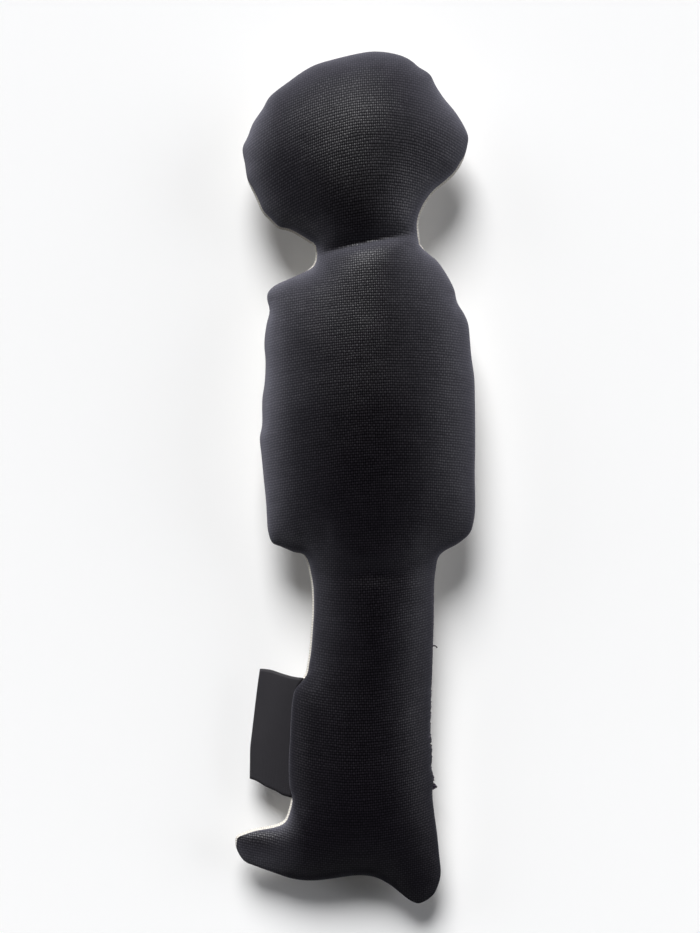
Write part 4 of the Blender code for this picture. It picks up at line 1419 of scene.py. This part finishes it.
# Each lamp's bearing and rise in degrees, its width in degrees, the level it gives the table and its colour
LAMPS = (
    ("window", 99, 38, 30, 0.805, (1.0, 1.0, 1.0)),
    ("left_wall", 150, 16, 40, 0.065, (0.95, 0.96, 1.0)),
    ("right_wall", 12, 18, 50, 0.11, (0.95, 0.96, 1.0)),
)
PICTURE_WIDE = 700
PICTURE_TALL = 933
SENSOR = 36
CAMERA_HEIGHT = 0.45
NEAREST_SEEN = 0.01
FURTHEST_SEEN = 10


def stage():
    """Pale table top that runs on in every direction."""
    corners = [(x * TABLE_HALF, y * TABLE_HALF, 0) for x, y in ((-1, -1), (1, -1), (1, 1), (-1, 1))]
    floor = add_mesh("table_top", corners, [(0, 1, 2, 3)])
    floor.location.z = -TABLE_SUNK
    material, n, shader = new_material("white_card")
    card = n.mix_color(n.noise(n.place(), 900.0, 4.0), (0.54, 0.54, 0.545, 1), (0.6, 0.6, 0.605, 1))
    ray = n.add("ShaderNodeLightPath").outputs
    mirrored = n.sum("MAXIMUM", ray["Is Glossy Ray"], ray["Is Transmission Ray"])
    looked_at = n.sum("MAXIMUM", ray["Is Camera Ray"], mirrored)
    seen = n.mix_color(looked_at, card, (0.985, 0.985, 0.985, 1))
    n.fill(shader, {"Base Color": seen, "Roughness": 0.9, "Specular IOR Level": 0.0})
    floor.data.materials.append(material)


def add_sun(name, bearing, rise, wide, level, color):
    """A wide patch of light at a bearing and rise in degrees that lights the table top to the given level."""
    lamp = bpy.data.lights.new(name, "SUN")
    lamp.angle = math.radians(wide)
    lamp.energy = level * math.pi / math.sin(math.radians(rise))
    lamp.color = color
    obj = bpy.data.objects.new(name, lamp)
    bpy.context.scene.collection.objects.link(obj)
    bearing, rise = math.radians(bearing), math.radians(rise)
    toward = Vector((math.cos(bearing) * math.cos(rise), math.sin(bearing) * math.cos(rise), math.sin(rise)))
    obj.rotation_euler = toward.to_track_quat("Z", "Y").to_euler()
    obj.location = toward


def lights():
    """A broad window beyond the doll's head, pale walls low around it and hardly any light from overhead."""
    scene = bpy.context.scene
    scene.view_settings.view_transform = "Standard"
    world = bpy.data.worlds.new("pale_room")
    scene.world = world
    world.use_nodes = True
    n = Nodes(world.node_tree)
    dim = world.node_tree.nodes["Background"]
    n.fill(dim, {"Color": (0.93, 0.95, 1.0, 1), "Strength": ROOM_LEVEL})
    white = n.add("ShaderNodeBackground", {"Color": (1, 1, 1, 1), "Strength": 1.0})
    rise = n.parts(n.add("ShaderNodeTexCoord").outputs["Generated"])[2]
    ray = n.add("ShaderNodeLightPath").outputs
    seen = n.sum("MAXIMUM", ray["Is Camera Ray"], ray["Is Transmission Ray"])
    mirrored = n.sum("MULTIPLY", ray["Is Glossy Ray"], n.between(rise, *WALL_TOP, 1.0, 0.0))
    shown = n.sum("MAXIMUM", seen, mirrored)
    mix = n.add("ShaderNodeMixShader", {0: shown, 1: dim.outputs[0], 2: white.outputs[0]})
    n.fill(world.node_tree.nodes["World Output"], {"Surface": mix.outputs[0]})
    for lamp in LAMPS:
        add_sun(*lamp)


def camera():
    """The camera, straight above the doll as the picture was taken."""
    data = bpy.data.cameras.new("camera")
    data.sensor_width = SENSOR
    data.lens = SENSOR * CAMERA_HEIGHT / (PICTURE_TALL * POINT)
    data.clip_start, data.clip_end = NEAREST_SEEN, FURTHEST_SEEN
    obj = bpy.data.objects.new("camera", data)
    bpy.context.scene.collection.objects.link(obj)
    obj.location = (*spot(PICTURE_WIDE / 2, PICTURE_TALL / 2), CAMERA_HEIGHT + SEAM_Z)
    bpy.context.scene.camera = obj


def dress_wire(wire, tape):
    """Gives the wire inside and the bindings of its ends their finish."""
    for node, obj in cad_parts.items():
        if node.endswith("_wire"):
            obj.material_slots[0].material = wire
        elif node.endswith("_binding"):
            obj.material_slots[0].material = tape


pattern = Pattern()
form = Form(pattern)
skin = Skin(pattern, form)
skin_object = add_stuffed_skin(skin)
weave = plain_weave()
linen = {
    "back": woven_cloth("black_weave", weave, BLACK_LINEN),
    "front": woven_cloth("natural_weave", weave, NATURAL_LINEN),
}
add_stuffing(skin, form, fibre_fill())
add_pieces(skin_object, linen)
bpy.data.objects.remove(skin_object)
add_label(woven_cloth("ribbon_weave", weave, BLACK_RIBBON))
black_thread = sewing_thread()
add_closing_thread(skin, pattern, black_thread)
add_thread_tail(black_thread)
dress_wire(soft_wire(), cotton_tape())
stage()
lights()
camera()
